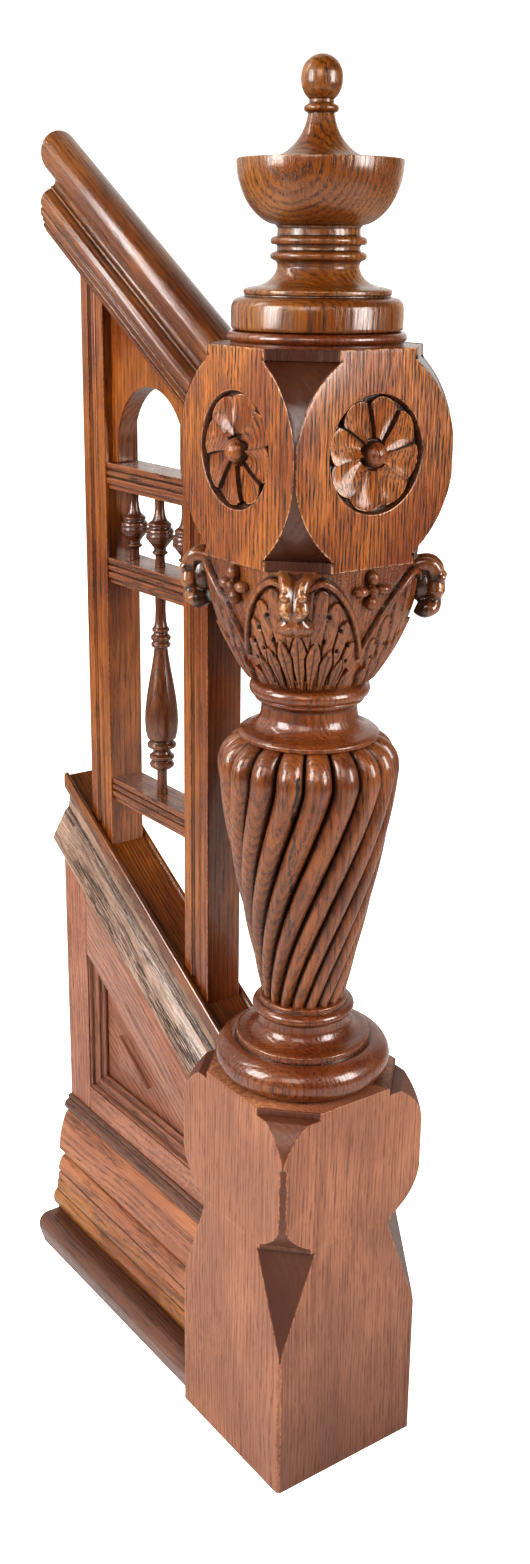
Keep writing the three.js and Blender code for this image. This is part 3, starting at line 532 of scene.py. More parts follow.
# Capital: four broad leaves carved in the same oak timber, one up each corner of the bell, with a
# raised ribbon round each leaf and a rolled tip. A small flower stands on the punched ground of each
# face.
head_bottom = 1106.6
bell_neck_radius = 59
bell_face_reach = 97
bell_corner_reach = 112
bell_mean_radius = 90
valley_angle = 44
peak_angle = 13
valley_z = 1026
peak_z = 1101
tip_dip = 15
ribbon_width = 8.5
bell_columns = 640
bell_rows = 132


def bell_radius(from_corner, z):
    """Radius of the bell under the leaves, round at its foot and square at its top."""
    share = np.clip((z - bell_bottom) / (head_bottom - bell_bottom), 0, 1)
    rise = np.sin(share * math.pi / 2)
    face = bell_neck_radius + (bell_face_reach - bell_neck_radius) * rise ** 0.8
    corner = bell_neck_radius + (bell_corner_reach - bell_neck_radius) * rise ** 0.85
    towards = np.abs(np.cos(np.radians(2 * from_corner))) ** 1.5
    return face + (corner - face) * towards


def leaf_edge_z(from_corner):
    """Height of a leaf's outline, by the degrees from the corner that it grows up."""
    away = np.abs(from_corner)
    share = np.clip((away - peak_angle) / (valley_angle - peak_angle), 0, 1.2)
    outside = valley_z + (peak_z - valley_z) * (1 - share ** 1.6)
    inside = peak_z - tip_dip * np.clip((peak_angle - away) / peak_angle, 0, 1) ** 1.6
    return np.where(away > peak_angle, outside, inside)


def step_up(value, start, width):
    """A soft step from 0 to 1."""
    t = np.clip((value - start) / width, 0, 1)
    return t * t * (3 - 2 * t)


def tongue(away, z, tip_away, tip_z, half_width, root_away, tip_share):
    """How far a point lies from a leaf finger's centre line, 1 at its outline, and the same in degrees."""
    along = np.clip((z - bell_bottom) / (tip_z - bell_bottom), 0, 1)
    centre = root_away + (tip_away - root_away) * along ** 1.15
    taper = np.clip((1 - along) / tip_share, 0, 1) ** 0.6
    width = half_width * (0.3 + 0.7 * np.clip(along / 0.7, 0, 1)) * taper + 1e-3
    return np.where(z < tip_z, np.abs(away - centre) / width, 9), away - centre


def bell_relief():
    """The bell's rings with ribbons, leaf fingers and eyes, painted shade at their edges, seams and eyes,
    and where the ground is punched.
    """
    angle = np.linspace(-45, 45, bell_columns // 4, endpoint=False)
    a, z = np.meshgrid(np.tile(angle, 4), np.linspace(bell_bottom - 2, head_bottom + 1.5, bell_rows))
    away = np.abs(a)
    below = leaf_edge_z(a) - z
    band = ribbon_width * (1 + 0.9 * np.clip((away - peak_angle) / 30, 0, 1))
    across = np.clip((below - band / 2) / (band / 2), -1, 1)
    ribbon = np.sqrt(1 - across ** 2) * (0.7 + 0.3 * np.abs(across))
    proud = 7.5 + 3 * np.clip((z - 1040) / 50, 0, 1)
    in_leaf = step_up(below, band - 1, 2.5)
    relief = proud * ribbon
    edge = np.where(ribbon > 0.55, 0.5, 0.0)
    # Painted shade along both edges of each ribbon.
    edge = np.where((np.abs(below - band - 0.4) < 1.2) | (np.abs(below + 0.8) < 1.2), -1.0, edge)
    upper = [(4.5, 1094, 4.7, 3, 0.04), (13.2, 1090, 4.5, 9, 0.05), (21.6, 1076, 4.3, 15.5, 0.06),
             (29.2, 1054, 4.1, 22, 0.07), (36.2, 1030, 3.8, 29, 0.08)]
    lower = [(0, 1042, 5.8, 0, 0.35), (10.8, 1034, 5.4, 7.2, 0.35), (20.2, 1024, 5, 15.5, 0.35),
             (29, 1011, 4.6, 24.5, 0.35), (37.5, 997, 4.2, 34, 0.4)]
    eyes = [(5.8, 1043), (15.6, 1033), (24.7, 1021), (33.5, 1008), (17.6, 1060), (25.4, 1044), (33, 1026)]
    leaf = np.full_like(z, 0.2)
    seam = np.zeros_like(z)
    for finger in upper:
        off, _ = tongue(away, z, *finger)
        inside = off < 1
        leaf = np.where(inside, np.maximum(leaf, 1.2 + 3.0 * np.sqrt(np.clip(1 - off ** 4, 0, 1))), leaf)
        seam = np.maximum(seam, np.where(inside, step_up(off, 0.8, 0.2), 0))
    for finger in lower:
        off, degrees_off = tongue(away, z, *finger)
        ring = (off >= 1) & (off < 1.14)
        leaf = np.where(ring, np.minimum(leaf, 1.0), leaf)
        seam = np.where(ring, 1.0, seam)
        vein = np.exp(-(degrees_off / 0.6) ** 2) * (z < finger[1] - 7)
        leaf = np.where(off < 1, 3.4 + 3.4 * np.sqrt(np.clip(1 - off ** 2.2, 0, 1)) - 1.5 * vein, leaf)
        seam = np.where(off < 1, np.maximum(0.8 * vein, 0.6 * step_up(off, 0.9, 0.1)), seam)
    # Painted shade in the seams between the leaf fingers.
    edge = np.where((in_leaf > 0.5) & (seam > 0.2), -0.85 * seam, edge)
    eye = np.zeros_like(z)
    for eye_away, eye_z in eyes:
        sideways = (away - eye_away) * math.radians(1) * bell_mean_radius
        eye = np.maximum(eye, np.exp(-(sideways / 1.7) ** 2 - ((z - eye_z) / 2.3) ** 2))
    relief = relief + in_leaf * (leaf - 4.5 * eye) * step_up(z, bell_bottom, 6)
    # Painted shade in the drilled eyes.
    edge = np.where((eye > 0.3) & (in_leaf > 0.5), -1.0, edge)
    radius = bell_radius(a, z) + relief
    turn = np.radians(np.repeat([45, 135, 225, 315], bell_columns // 4)[None, :] + a)
    rings = np.stack([radius * np.cos(turn), radius * np.sin(turn), z], -1)
    return rings, edge, 1 - step_up(below, -3.5, 2.0)


bell_points, bell_edge, bell_ground = bell_relief()
bell = skin("leaf_bell", bell_points, bell_edge, punched=bell_ground)


def ball(centre, radii):
    """Points and faces of an ellipsoid."""
    rings = 14
    steps = 20
    across = np.linspace(0, math.pi, rings + 2)[1:-1]
    around = np.linspace(0, 2 * math.pi, steps, endpoint=False)
    x = radii[0] * np.outer(np.sin(across), np.cos(around)) + centre[0]
    y = radii[1] * np.outer(np.sin(across), np.sin(around)) + centre[1]
    z = radii[2] * np.outer(np.cos(across), np.ones(steps)) + centre[2]
    faces = [face[::-1] for face in grid_faces(rings, steps) + end_faces(rings, steps)]
    return np.stack([x, y, z], -1).reshape(-1, 3), faces


def curl_body():
    """The rolled leaf tip: a thick strap over the leaf's end, cleft in the middle and pinched lower down."""
    path = np.array([(98, 1091), (108, 1100), (118, 1103.5), (126, 1102), (131, 1095), (132, 1085),
                     (132, 1073), (131, 1065), (128.5, 1057), (121, 1053.5), (113, 1057)], float)
    half_width = np.array([20, 19, 18, 17, 15, 14, 16.5, 11, 18.5, 19.5, 14], float)
    half_thick = np.array([11, 11, 10.5, 10.5, 10.5, 9, 10.5, 7.5, 11, 11, 9], float)
    cleft = np.array([13, 13, 13, 12, 8, 3, 1.5, 1.5, 2.2, 1.6, 0.5], float)
    spread = np.array([11, 11, 10, 8, 5, 2.4, 2, 2, 2.2, 2.2, 2], float)
    steps = np.linspace(0, len(path) - 1, 66)
    knots = np.arange(len(path))
    r, z = (np.interp(steps, knots, path[:, k]) for k in (0, 1))
    for values in (r, z):
        values[2:-2] = (values[:-4] + values[1:-3] + values[2:-2] + values[3:-1] + values[4:]) / 5
    wide, thick, cut, gape = (np.interp(steps, knots, v) for v in (half_width, half_thick, cleft, spread))
    along = np.column_stack([np.gradient(r), np.gradient(z)])
    along /= np.hypot(*along.T)[:, None]
    outward = np.column_stack([-along[:, 1], along[:, 0]])
    around = np.linspace(0, 2 * math.pi, 44, endpoint=False)
    side = np.sign(np.cos(around)) * np.abs(np.cos(around)) ** 0.8
    lift = np.sign(np.sin(around)) * np.abs(np.sin(around)) ** 0.8
    t = wide[:, None] * side[None, :]
    groove = cut[:, None] * np.exp(-(t / gape[:, None]) ** 2) * (lift > 0)[None, :]
    h = thick[:, None] * lift[None, :] - groove
    points = np.stack([r[:, None] + outward[:, :1] * h, t, z[:, None] + outward[:, 1:] * h], -1)
    faces = grid_faces(len(steps), len(around)) + end_faces(len(steps), len(around))
    return points.reshape(-1, 3), faces


def curl_shade(points):
    """Wear and painted shade on the rolled tip: shade painted in the cleft, under the cheeks, round the eyes
    and in the hollow behind it.
    """
    r, t, z = points.T
    cleft = np.exp(-(t / 1.8) ** 2) * (z > 1070) * (z < 1092)
    slots = np.exp(-((z - 1065 + 0.35 * np.abs(np.abs(t) - 12)) / 2.6) ** 2) * (np.abs(t) > 4) * (r > 128)
    hollow = (r < 126) & (np.abs(t) > 8) & (z < 1096)
    eyes = np.exp(-((np.hypot(np.abs(t) - 9, z - 1088) - 5.6) / 1.1) ** 2) * (r > 128)
    worn = 0.8 * ((r > 138) & (np.abs(t) > 3))
    return worn - np.clip(0.8 * cleft + 1.1 * slots + 0.7 * hollow + 0.9 * eyes, 0, 1)


def turned_round(x, y, degrees):
    """x and y turned about the post's axis."""
    turn = math.radians(degrees)
    return x * math.cos(turn) - y * math.sin(turn), x * math.sin(turn) + y * math.cos(turn)


def melted(name, parts, voxel, turn_degrees, shade=None):
    """Carved lumps melted into one and turned about the post. shade gives each point's wear or painted
    shade.
    """
    points = []
    faces = []
    count = 0
    for some_points, some_faces in parts:
        points.append(some_points)
        faces += [[index + count for index in face] for face in some_faces]
        count += len(some_points)
    points = np.concatenate(points)
    points[:, 0], points[:, 1] = turned_round(points[:, 0], points[:, 1], turn_degrees)
    lump = build_mesh(name, points, faces)
    melt = lump.modifiers.new("melt", "REMESH")
    melt.mode = "VOXEL"
    melt.voxel_size = voxel * MM
    melt.use_smooth_shade = True
    ease = lump.modifiers.new("ease", "SMOOTH")
    ease.iterations = 2
    ease.factor = 0.5
    melted_mesh = bpy.data.meshes.new_from_object(lump.evaluated_get(bpy.context.evaluated_depsgraph_get()))
    lump.modifiers.clear()
    lump.data = melted_mesh
    for label in ("edge", "dark", "punched"):
        if label not in melted_mesh.attributes:
            melted_mesh.attributes.new(label, "FLOAT", "POINT")
    if shade is not None:
        flat = np.empty(3 * len(melted_mesh.vertices))
        melted_mesh.vertices.foreach_get("co", flat)
        x, y, z = flat.reshape(-1, 3).T / MM
        seen_ahead = np.column_stack([*turned_round(x, y, -turn_degrees), z])
        melted_mesh.attributes["edge"].data.foreach_set("value", shade(seen_ahead).astype(np.float32))
    return lump


curl_parts = [curl_body(), ball((117, 0, 1080), (13, 15, 21)),
              *[ball((137, side * 9, 1088), (6, 5.2, 5.2)) for side in (-1, 1)]]
flower_parts = [ball((103, 0, 1084), (7, 4.8, 4.8)), ball((101.5, 0, 1097), (7.5, 6.4, 8)),
                ball((99.5, 0, 1071), (7.5, 6.4, 8)), ball((101.5, -14.5, 1084), (7.5, 9, 6)),
                ball((101.5, 14.5, 1084), (7.5, 9, 6))]
capital_finish = oak("carved oak", "up", (0.16, 0.047, 0.015), (0.28, 0.1, 0.022), (0.042, 0.012, 0.005),
                     worn=(0.32, 0.15, 0.075), ring=0.0045, pores=0.55, light_share=0.7, wear=0.4, gloss=0.3,
                     coat=0.4, bump=0.3)
dress(bell, capital_finish, "carved_oak", "newel_post")
curl_finish = oak("curl oak", "up", (0.14, 0.045, 0.013), (0.26, 0.095, 0.022), (0.06, 0.017, 0.007),
                  worn=(0.62, 0.36, 0.14), dirt_and_shade=(0.03, 0.012, 0.006), ring=0.0045, pores=0.4,
                  light_share=0.8, wear=0.6, gloss=0.26, coat=0.6, bump=0.2)
for number in range(4):
    curl = melted(f"leaf_curl_{number + 1}", curl_parts, 1.0, 45 + 90 * number, curl_shade)
    dress(curl, curl_finish, "carved_oak", "newel_post")
    flower = melted(f"flower_{number + 1}", flower_parts, 0.8, 90 * number)
    dress(flower, capital_finish, "carved_oak", "newel_post")

# Head of the post, the square top of the same oak timber. Its faces are sawn to shields, with a dark
# curved cut between two of them, and a round rosette is carved into each show face.
head_top = 1322.7
head_mid_z = 1214
head_top_cut = 54
head_bottom_cut = 49
band_height = 11
band_proud = 2.5
least_head_cut = 1.5
head_cut_lip = 0.9
rosette_z = 1221
rosette_radius = 59
rosette_depth = 8
petals = 8
petal_start = 5
petal_swirl = math.radians(5)
boss_radius = 13
low_band_z = head_bottom + band_height
high_band_z = head_top - band_height


def head_cut(z):
    """How far a face's outline lies in from the arris at a height."""
    if z > high_band_z:
        return head_top_cut
    if z < low_band_z:
        return head_bottom_cut
    end, full = ((high_band_z, head_top_cut + band_proud) if z > head_mid_z
                 else (low_band_z, head_bottom_cut + band_proud))
    height = abs(end - head_mid_z)
    radius = (height * height + full * full) / (2 * full)
    return radius - math.sqrt(radius * radius - (z - head_mid_z) ** 2)


head_levels = np.array([head_bottom, head_bottom + 5, low_band_z - 0.2, low_band_z + 0.2,
                        *np.linspace(low_band_z + 4, high_band_z - 4, 44),
                        high_band_z - 0.2, high_band_z + 0.2, head_top - 5, head_top])


def head_corners():
    """The four corner cuts, each a curved dark strip between the outlines of two faces."""
    strip = []
    for z in head_levels:
        cut = max(head_cut(z), least_head_cut)
        a = np.array([block_half, block_half - cut])
        b = np.array([block_half - cut, block_half])
        sunk = np.array([-1, -1]) / math.sqrt(2) * min(head_cut_lip, 0.1 * cut)
        across = [a, a + (b - a) * 0.04 + sunk, a * 0.5 + b * 0.5, b + (a - b) * 0.04 + sunk, b]
        strip.append([[*point, z] for point in across])
    strip = np.array(strip)
    points = []
    faces = []
    for corner in range(4):
        x, y = turned_round(strip[:, :, 0], strip[:, :, 1], 90 * corner)
        faces += grid_faces(len(head_levels), 5, wrap=False, first=corner * len(head_levels) * 5)
        points.append(np.stack([x, y, strip[:, :, 2]], -1).reshape(-1, 3))
    faces = [face[::-1] for face in faces]
    # Worn arrises at the strip's borders and painted shade in the sunk lines beside them.
    edge = np.tile([0.9, -0.25, 0, -0.25, 0.9], 4 * len(head_levels))
    dark = np.tile([0.25, 1, 1, 1, 0.25], 4 * len(head_levels))
    return np.concatenate(points), faces, edge, dark


def face_outline():
    """Outline of one head face in [across, z], anticlockwise from the middle of its right side."""
    right = [[block_half - max(head_cut(z), least_head_cut), z] for z in head_levels]
    left = [[-x, z] for x, z in right][::-1]
    top = [[x, head_top] for x in np.linspace(right[-1][0], left[0][0], 14)[1:-1]]
    bottom = [[x, head_bottom] for x in np.linspace(left[-1][0], right[0][0], 14)[1:-1]]
    return np.array(right + top + left + bottom)


def petal_height(phase, share):
    """Height of a petal over the rosette's floor, low where it runs under its neighbour."""
    rise = 2.6 + 5.0 * phase ** 1.2
    scoop = 2.8 * np.sin(math.pi * phase) ** 1.2 * np.sin(math.pi * np.clip(0.15 + 0.8 * share, 0, 1))
    return rise - scoop - 0.5 * np.clip((share - 0.86) / 0.14, 0, 1) ** 2


def rosette_face(name, carved, turn_degrees):
    """One face of the head as rings of points from its outline inwards, with the rosette sunk in it."""
    outline = face_outline()
    phases = np.concatenate([[0.002, 0.012], np.linspace(0.03, 0.97, 76), [0.988, 0.998]])
    angles = ((np.arange(petals)[:, None] + phases[None, :]).ravel() * 2 * math.pi / petals
              + math.radians(petal_start))
    phase = np.tile(phases, petals)
    ring_angle = np.arctan2(outline[:, 1] - rosette_z, outline[:, 0])
    order = np.argsort(ring_angle)
    closed_angle = np.concatenate([ring_angle[order] + 2 * math.pi * lap for lap in (-1, 0, 1)])
    closed = np.vstack([outline[order]] * 3)
    wrapped = (angles + math.pi) % (2 * math.pi) - math.pi
    for corner in outline[np.abs(outline[:, 1] - rosette_z) > head_top - rosette_z - band_height - 1]:
        corner_angle = math.atan2(corner[1] - rosette_z, corner[0])
        nearest = np.argmin(np.abs((wrapped - corner_angle + math.pi) % (2 * math.pi) - math.pi))
        wrapped[nearest] = corner_angle
    edge_points = np.column_stack([np.interp(wrapped, closed_angle, closed[:, 0]),
                                   np.interp(wrapped, closed_angle, closed[:, 1])])
    centre = np.array([0, rosette_z])
    out = np.column_stack([np.cos(angles), np.sin(angles)])
    rings = []

    def ring(flat, depth, edge):
        rings.append((flat, np.broadcast_to(depth, len(angles)), np.broadcast_to(edge, len(angles))))

    inner = centre + out * (rosette_radius + 3)
    ring(edge_points, 0.5, 0.9)
    span = np.hypot(*(edge_points - inner).T)[:, None]
    for inset, depth, edge in ((0.8, 0.06, 0.6), (3.5, 0, 0)):
        share = np.minimum(inset / np.maximum(span, 1), 0.45)
        ring(edge_points + (inner - edge_points) * share, depth, edge)
    for share in (0.5, 0.75, 1):
        ring(edge_points + (inner - edge_points) * share, 0, 0)
    if carved:
        # Worn arris at the recess's rim, then painted shade down its wall to the floor.
        for beyond, depth, edge in ((1.8, 0, 0), (0.9, 0.05, 0.8), (0, 0.8, -0.8), (-0.7, 4, -0.4),
                                    (-1.2, rosette_depth, -1)):
            ring(centre + out * (rosette_radius + beyond), depth, edge)
        bulge = np.clip(np.sin(math.pi * (0.03 + 0.94 * phase)), 0, 1) ** 0.55
        reach = (rosette_radius * (0.81 + 0.165 * bulge))[:, None]
        ring(centre + out * (reach + 1.0), rosette_depth, -1)
        # Painted shade along each petal's seams and under its outer lip.
        seam = np.where((phase < 0.035) | (phase > 0.972), -1.0, 0.0)
        for share in np.concatenate([[1.0, 0.985], np.linspace(0.95, 0.3, 18)]):
            swirl = angles + petal_swirl * share ** 2
            swept = centre + np.column_stack([np.cos(swirl), np.sin(swirl)]) * reach * share
            drop = 1.8 if share == 1.0 else 0.0
            lip = {1.0: -0.7, 0.985: 0.9}.get(share, 0.0)
            depth = rosette_depth + drop - petal_height(phase, share)
            ring(swept, depth, np.where(seam < 0, seam, lip))
        # Painted shade round the foot of the boss and round its rim.
        for reach_out in (boss_radius + 2, boss_radius + 0.5):
            ring(centre + out * reach_out, rosette_depth + 0.5, -1)
        for share in np.linspace(1, 0.04, 10):
            height = 14.5 * math.sqrt(1 - (0.98 * share) ** 2) + 2.4
            ring(centre + out * boss_radius * share, rosette_depth - height, -1 if share > 0.95 else 0.0)
    else:
        ring(centre + out * 4, 0, 0)
    points = []
    for flat, depth, _ in rings:
        x, y = turned_round(flat[:, 0], -block_half + depth, turn_degrees)
        points.append(np.column_stack([x, y, flat[:, 1]]))
    faces = [face[::-1] for face in grid_faces(len(rings), len(angles))]
    faces.append(end_faces(len(rings), len(angles))[1])
    return build_mesh(name, np.concatenate(points), faces, np.concatenate([edge for _, _, edge in rings]))


corner_points, corner_faces, corner_edge, corner_dark = head_corners()
head_strips = build_mesh("head_corners", corner_points, corner_faces, corner_edge, corner_dark)
head_finish = oak("head oak", "up", (0.22, 0.06, 0.013), (0.4, 0.14, 0.02), (0.032, 0.009, 0.0045),
                  worn=(0.75, 0.5, 0.3), dirt_and_shade=(0.045, 0.015, 0.008), ring=0.0044, pores=0.95,
                  light_share=0.8, wear=0.75, gloss=0.3, coat=0.4, bump=0.6)
dress(head_strips, head_finish, "carved_oak", "newel_post")
for name, carved, turn_degrees in (("head_face_front", True, 0), ("head_face_right", True, 90),
                                   ("head_face_back", False, 180), ("head_face_left", True, -90)):
    dress(rosette_face(name, carved, turn_degrees), head_finish, "carved_oak", "newel_post")


def head_plate(name, z, upwards):
    """The flat that closes the head at its top or its underside."""
    outline, _ = soften(octagon(head_cut(z)), corner_degrees=20)
    points = np.column_stack([outline, np.full(len(outline), z)])
    face = list(range(len(outline)))
    return build_mesh(name, points, [face if upwards else face[::-1]])


dress(head_plate("head_top", head_top - 0.4, True), head_finish, "carved_oak", "newel_post")
dress(head_plate("head_underside", head_bottom + 0.4, False), head_finish, "carved_oak", "newel_post")

# Seat ring that the finial stands on: an oak bead on top of the head, turned in the post's own
# timber.
seat_height = 14
seat_radius = 92
seat_ring = turned("seat_ring", [
    [40, head_top - 1], [seat_radius - 3.5, head_top - 1], [seat_radius - 3.2, head_top + 2.5],
    *arc([seat_radius - 5.6, head_top + 7.6], [5.6, 5.4], -60, 80, 9),
    [seat_radius - 7, head_top + seat_height - 0.8], [seat_radius - 9, head_top + seat_height],
    [40, head_top + seat_height]])
dress(seat_ring, turned_finish, "carved_oak", "newel_post")

# Finial: a drum, a ringed neck, an open bowl, a cone and a ball, turned from an oak piece of its own
# and dowelled onto the seat ring with a fine open seam.
seam_width = 0.3
seat_z = head_top + seat_height + seam_width
finial = turned("finial_turning", [
    [20, seat_z], [86.6, seat_z], [87.6, seat_z + 2], [87.8, 1356], *arc([79, 1358], [8.6, 10], 5, 72, 8),
    [74.5, 1369.4], [74.2, 1371], [75.4, 1372], [75.4, 1375.5], [73.6, 1376.6],
    *arc([68, 1400], [26.5, 21.5], 268, 192, 9), [41.5, 1397], [42, 1401.5], [43.6, 1403.4],
    *arc([44.6, 1408], [4.2, 4], -70, 70, 6), [42.4, 1412.8], [41.9, 1416], [42.4, 1418.6],
    *arc([44.6, 1422.6], [4.2, 4], -70, 70, 6), [42, 1427.4], [41.6, 1434.5], [43.5, 1437.5],
    *arc([36, 1499.3], [47.4, 63], -74, -3, 18), [83.2, 1499.4], [81.4, 1499.9],
    [78.5, 1497.5], [68, 1496.8], [58, 1498.4], *arc([60, 1548], [47.2, 49.4], 262, 190, 12),
    [12.9, 1541.2], *arc([13.4, 1546], [4, 3.7], -80, 80, 7), [12.2, 1551], [12.4, 1553],
    *arc([0, 1572], [20.6, 22], -54, 0, 7), *arc([0, 1575], [20.6, 20.6], 3, 86, 12)], steps=128)
finial_finish = oak("finial oak", "up", (0.17, 0.054, 0.008), (0.3, 0.112, 0.01), (0.038, 0.01, 0.0035),
                    worn=(0.5, 0.27, 0.12), ring=0.0062, pores=0.7, light_share=0.8, wear=0.35, gloss=0.25,
                    coat=0.45, bump=0.26, seed=1.0)
dress(finial, finial_finish, "amber_oak", "finial")

# Handrail: one length of oak moulded to a round grip over a cove, an ogee and a fascia with fine
# grooves. It climbs with the stair, and its foot is cut plumb and bolted to the head of the post.
rake = math.tan(math.radians(rake_degrees))
floor_line_z = 596
floor_line_y = 300
run_start = 102.3
run_end = 505
rail_rise = 709.5
rail_height = 118.5
roll_radius = 26.5
roll_middle = -14.5


def floor_line(y):
    """Height of the trough's floor, where the stiles stand, at a distance along the stair."""
    return floor_line_z + rake * (y - floor_line_y)


def run(name, section, first, last, radius, margin, slope=0.0):
    """A moulding: its section in x and z, run along y and climbing by slope, with plumb ends."""
    outline, edge = soften(section, radius, margin)
    length = last - first
    stations = np.concatenate([[0, 0.6, 3], np.linspace(8, length - 8, 14),
                               [length - 3, length - 0.6, length]])
    rings = []
    edges = []
    for place, station in enumerate(stations):
        ring = np.empty((len(outline), 3))
        ring[:, 0] = outline[:, 0]
        ring[:, 1] = first + station
        ring[:, 2] = outline[:, 1] + slope * (first + station - floor_line_y)
        rings.append(ring)
        edges.append(np.maximum(edge, 0.7 if place in (0, len(stations) - 1) else -1))
    return skin(name, rings[::-1], edges[::-1])


rail_section = [
    [-35, 0], [-37.5, 2.5], [-38, 5.5], [-40, 6.5], [-40.6, 10], [-38.6, 11.2], [-38.8, 12.6], [-41.4, 14],
    [-41.4, 16.4], [-39.8, 17.4], [-40, 18.8], [-43.6, 20.4], [-44, 27.5], [-41.8, 29.3], [-42, 31.2],
    [-43.4, 33], [-43.2, 37], [-41.5, 42], [-38, 46.5], [-33, 49.8], [-29, 51.4], [-28.6, 53.6],
    [-25.5, 54.6], [-23, 57.5], [-22.3, 61], [-23.4, 65],
    *arc([roll_middle, rail_height - roll_radius], [roll_radius, roll_radius], 246, -34, 42),
    [6.4, 70], [6, 65], [7, 60], [11, 54], [18, 51], [24, 46], [26, 39], [26, 4], [24, 0]]
rail_section = [[x, z + floor_line_z + rail_rise] for x, z in rail_section]
handrail = run("handrail_moulding", rail_section, run_start, run_end, 0.7, 1.8, rake)
rail_finish = oak("handrail oak", "rake", (0.12, 0.034, 0.008), (0.25, 0.085, 0.01), (0.03, 0.009, 0.004),
                  worn=(0.4, 0.2, 0.1), ring=0.0052, pores=0.5, light_share=0.85, wear=0.3, gloss=0.25,
                  coat=0.45, bump=0.2, seed=2.0)
dress(handrail, rail_finish, "amber_oak", "handrail")

# Stiles: two square oak uprights that stand in the trough and carry the handrail. Their show faces are
# moulded with a bead between two grooves.
stile_half = 24
stile_depth = 52
stile_near_y = 165
stile_far_y = 394
stile_rings = 26
gap = 0.3


def stile(name, first):
    """A plumb stile whose foot and head follow the rake."""
    last = first + stile_depth
    groove = first + 0.36 * stile_depth
    far_groove = first + 0.64 * stile_depth
    show_face = [[0, first], [0, groove - 3.6], [1.2, groove - 3.2], [4.2, groove - 0.8],
                 [4.2, groove + 0.6], [1.4, groove + 3], [0.9, groove + 5.5],
                 [0.9, far_groove - 5.5], [1.4, far_groove - 3],
                 [4.2, far_groove - 0.6], [4.2, far_groove + 0.8], [1.2, far_groove + 3.2],
                 [0, far_groove + 3.6], [0, last]]
    section = [[depth - stile_half, y] for depth, y in show_face] + [[stile_half, last], [stile_half, first]]
    outline, edge = soften(section, 1.0, 2.6)
    foot = floor_line(outline[:, 1]) + gap
    height = rail_rise - 2 * gap
    rings = [np.column_stack([outline, foot + share * height]) for share in np.linspace(0, 1, stile_rings)]
    return skin(name, rings, np.tile(edge, (stile_rings, 1)))


stile_finish = oak("stile oak", "up", (0.16, 0.044, 0.01), (0.29, 0.098, 0.013), (0.042, 0.012, 0.005),
                   worn=(0.42, 0.22, 0.12), ring=0.0055, pores=0.45, light_share=0.9, wear=0.3, gloss=0.28,
                   coat=0.4, bump=0.18, seed=3.0)
dress(stile("stile_near_square", stile_near_y), stile_finish, "amber_oak", "stile_near")
dress(stile("stile_far_square", stile_far_y), stile_finish, "amber_oak", "stile_far")

# Arched board: one oak board fitted under the handrail between the stiles, sawn to a round arch that
# springs from the upper cross rail.
bay_near = stile_near_y + stile_depth + gap
bay_far = stile_far_y - gap
bay_middle = (bay_near + bay_far) / 2
upper_top = floor_line(bay_near) + rail_rise - 94.6
middle_top = upper_top - 119
lower_top = middle_top - 293
arch_half = 13
arch_radius = 76
arch_spring = upper_top + 21


def board(name, outline, x_near, x_far, radius=arris):
    """A board whose outline lies in y and z, spread over x, with eased arrises all round."""
    outline, edge = soften(outline, radius, 3.0)
    inner = outline + inward_directions(outline) * 0.9
    rings = []
    edges = []
    eased = outline * 0.7 + inner * 0.3
    for x, ring, wear in ((x_near, inner, 0.4), (x_near + 0.4, eased, 0.8), (x_near + 1.2, outline, 0.5),
                          (x_near + 4, outline, -1), (x_far - 4, outline, -1), (x_far - 1.2, outline, 0.5),
                          (x_far - 0.4, eased, 0.8), (x_far, inner, 0.4)):
        rings.append(np.column_stack([np.full(len(ring), x), ring]))
        edges.append(np.maximum(edge, wear))
    return skin(name, rings, edges)


def inward_directions(outline):
    """Unit vectors that point into an anticlockwise outline."""
    along = np.roll(outline, -1, 0) - np.roll(outline, 1, 0)
    along = along / np.maximum(np.hypot(*along.T), 1e-9)[:, None]
    return np.column_stack([-along[:, 1], along[:, 0]])


rail_under = floor_line(bay_near) + rail_rise - gap
arch_foot = upper_top + gap
arch_outline = [[bay_near, rail_under], [bay_near, arch_foot], [bay_middle - arch_radius, arch_foot],
                *arc([bay_middle, arch_spring], [arch_radius, arch_radius], 180, 0, 30),
                [bay_middle + arch_radius, arch_foot], [bay_far, arch_foot],
                [bay_far, floor_line(bay_far) + rail_rise - gap]]
arch_board = board("arch_board", arch_outline, -arch_half, arch_half)
dress(arch_board, stile_finish, "carved_oak", "arch_panel")

# Cross rails: three level oak rails tenoned between the stiles, each moulded with reeds along its
# show face.
cross_half = 22
cross_height = 32


def cross_rail(name, top):
    """One rail, from how deep its reeds lie at shares of its height."""
    show_face = [[3, 0], [3, 0.16], [1.4, 0.2], [0, 0.24], [0, 0.4], [0.8, 0.43], [2.8, 0.46], [2.8, 0.5],
                 [0.5, 0.53], [0, 0.56], [0, 0.66], [0.5, 0.69], [2.8, 0.72], [2.8, 0.76], [0.4, 0.79],
                 [0, 0.83], [0, 1]]
    section = [[depth - cross_half, up * cross_height] for depth, up in show_face]
    section += [[cross_half, cross_height], [cross_half, 0]]
    section = [[x, z + top - cross_height] for x, z in section]
    return run(name, section, bay_near, bay_far, 0.6, 1.4)


cross_finish = oak("cross rail oak", "along", (0.182, 0.059, 0.02), (0.266, 0.091, 0.025),
                   (0.042, 0.013, 0.006), worn=(0.45, 0.27, 0.17), ring=0.0042, pores=0.7, light_share=0.6,
                   wear=0.5, gloss=0.3, coat=0.35, bump=0.3, seed=4.0)
for level, top in (("upper", upper_top), ("middle", middle_top), ("lower", lower_top)):
    dress(cross_rail(f"cross_rail_{level}", top), cross_finish, "carved_oak", f"rail_{level}")

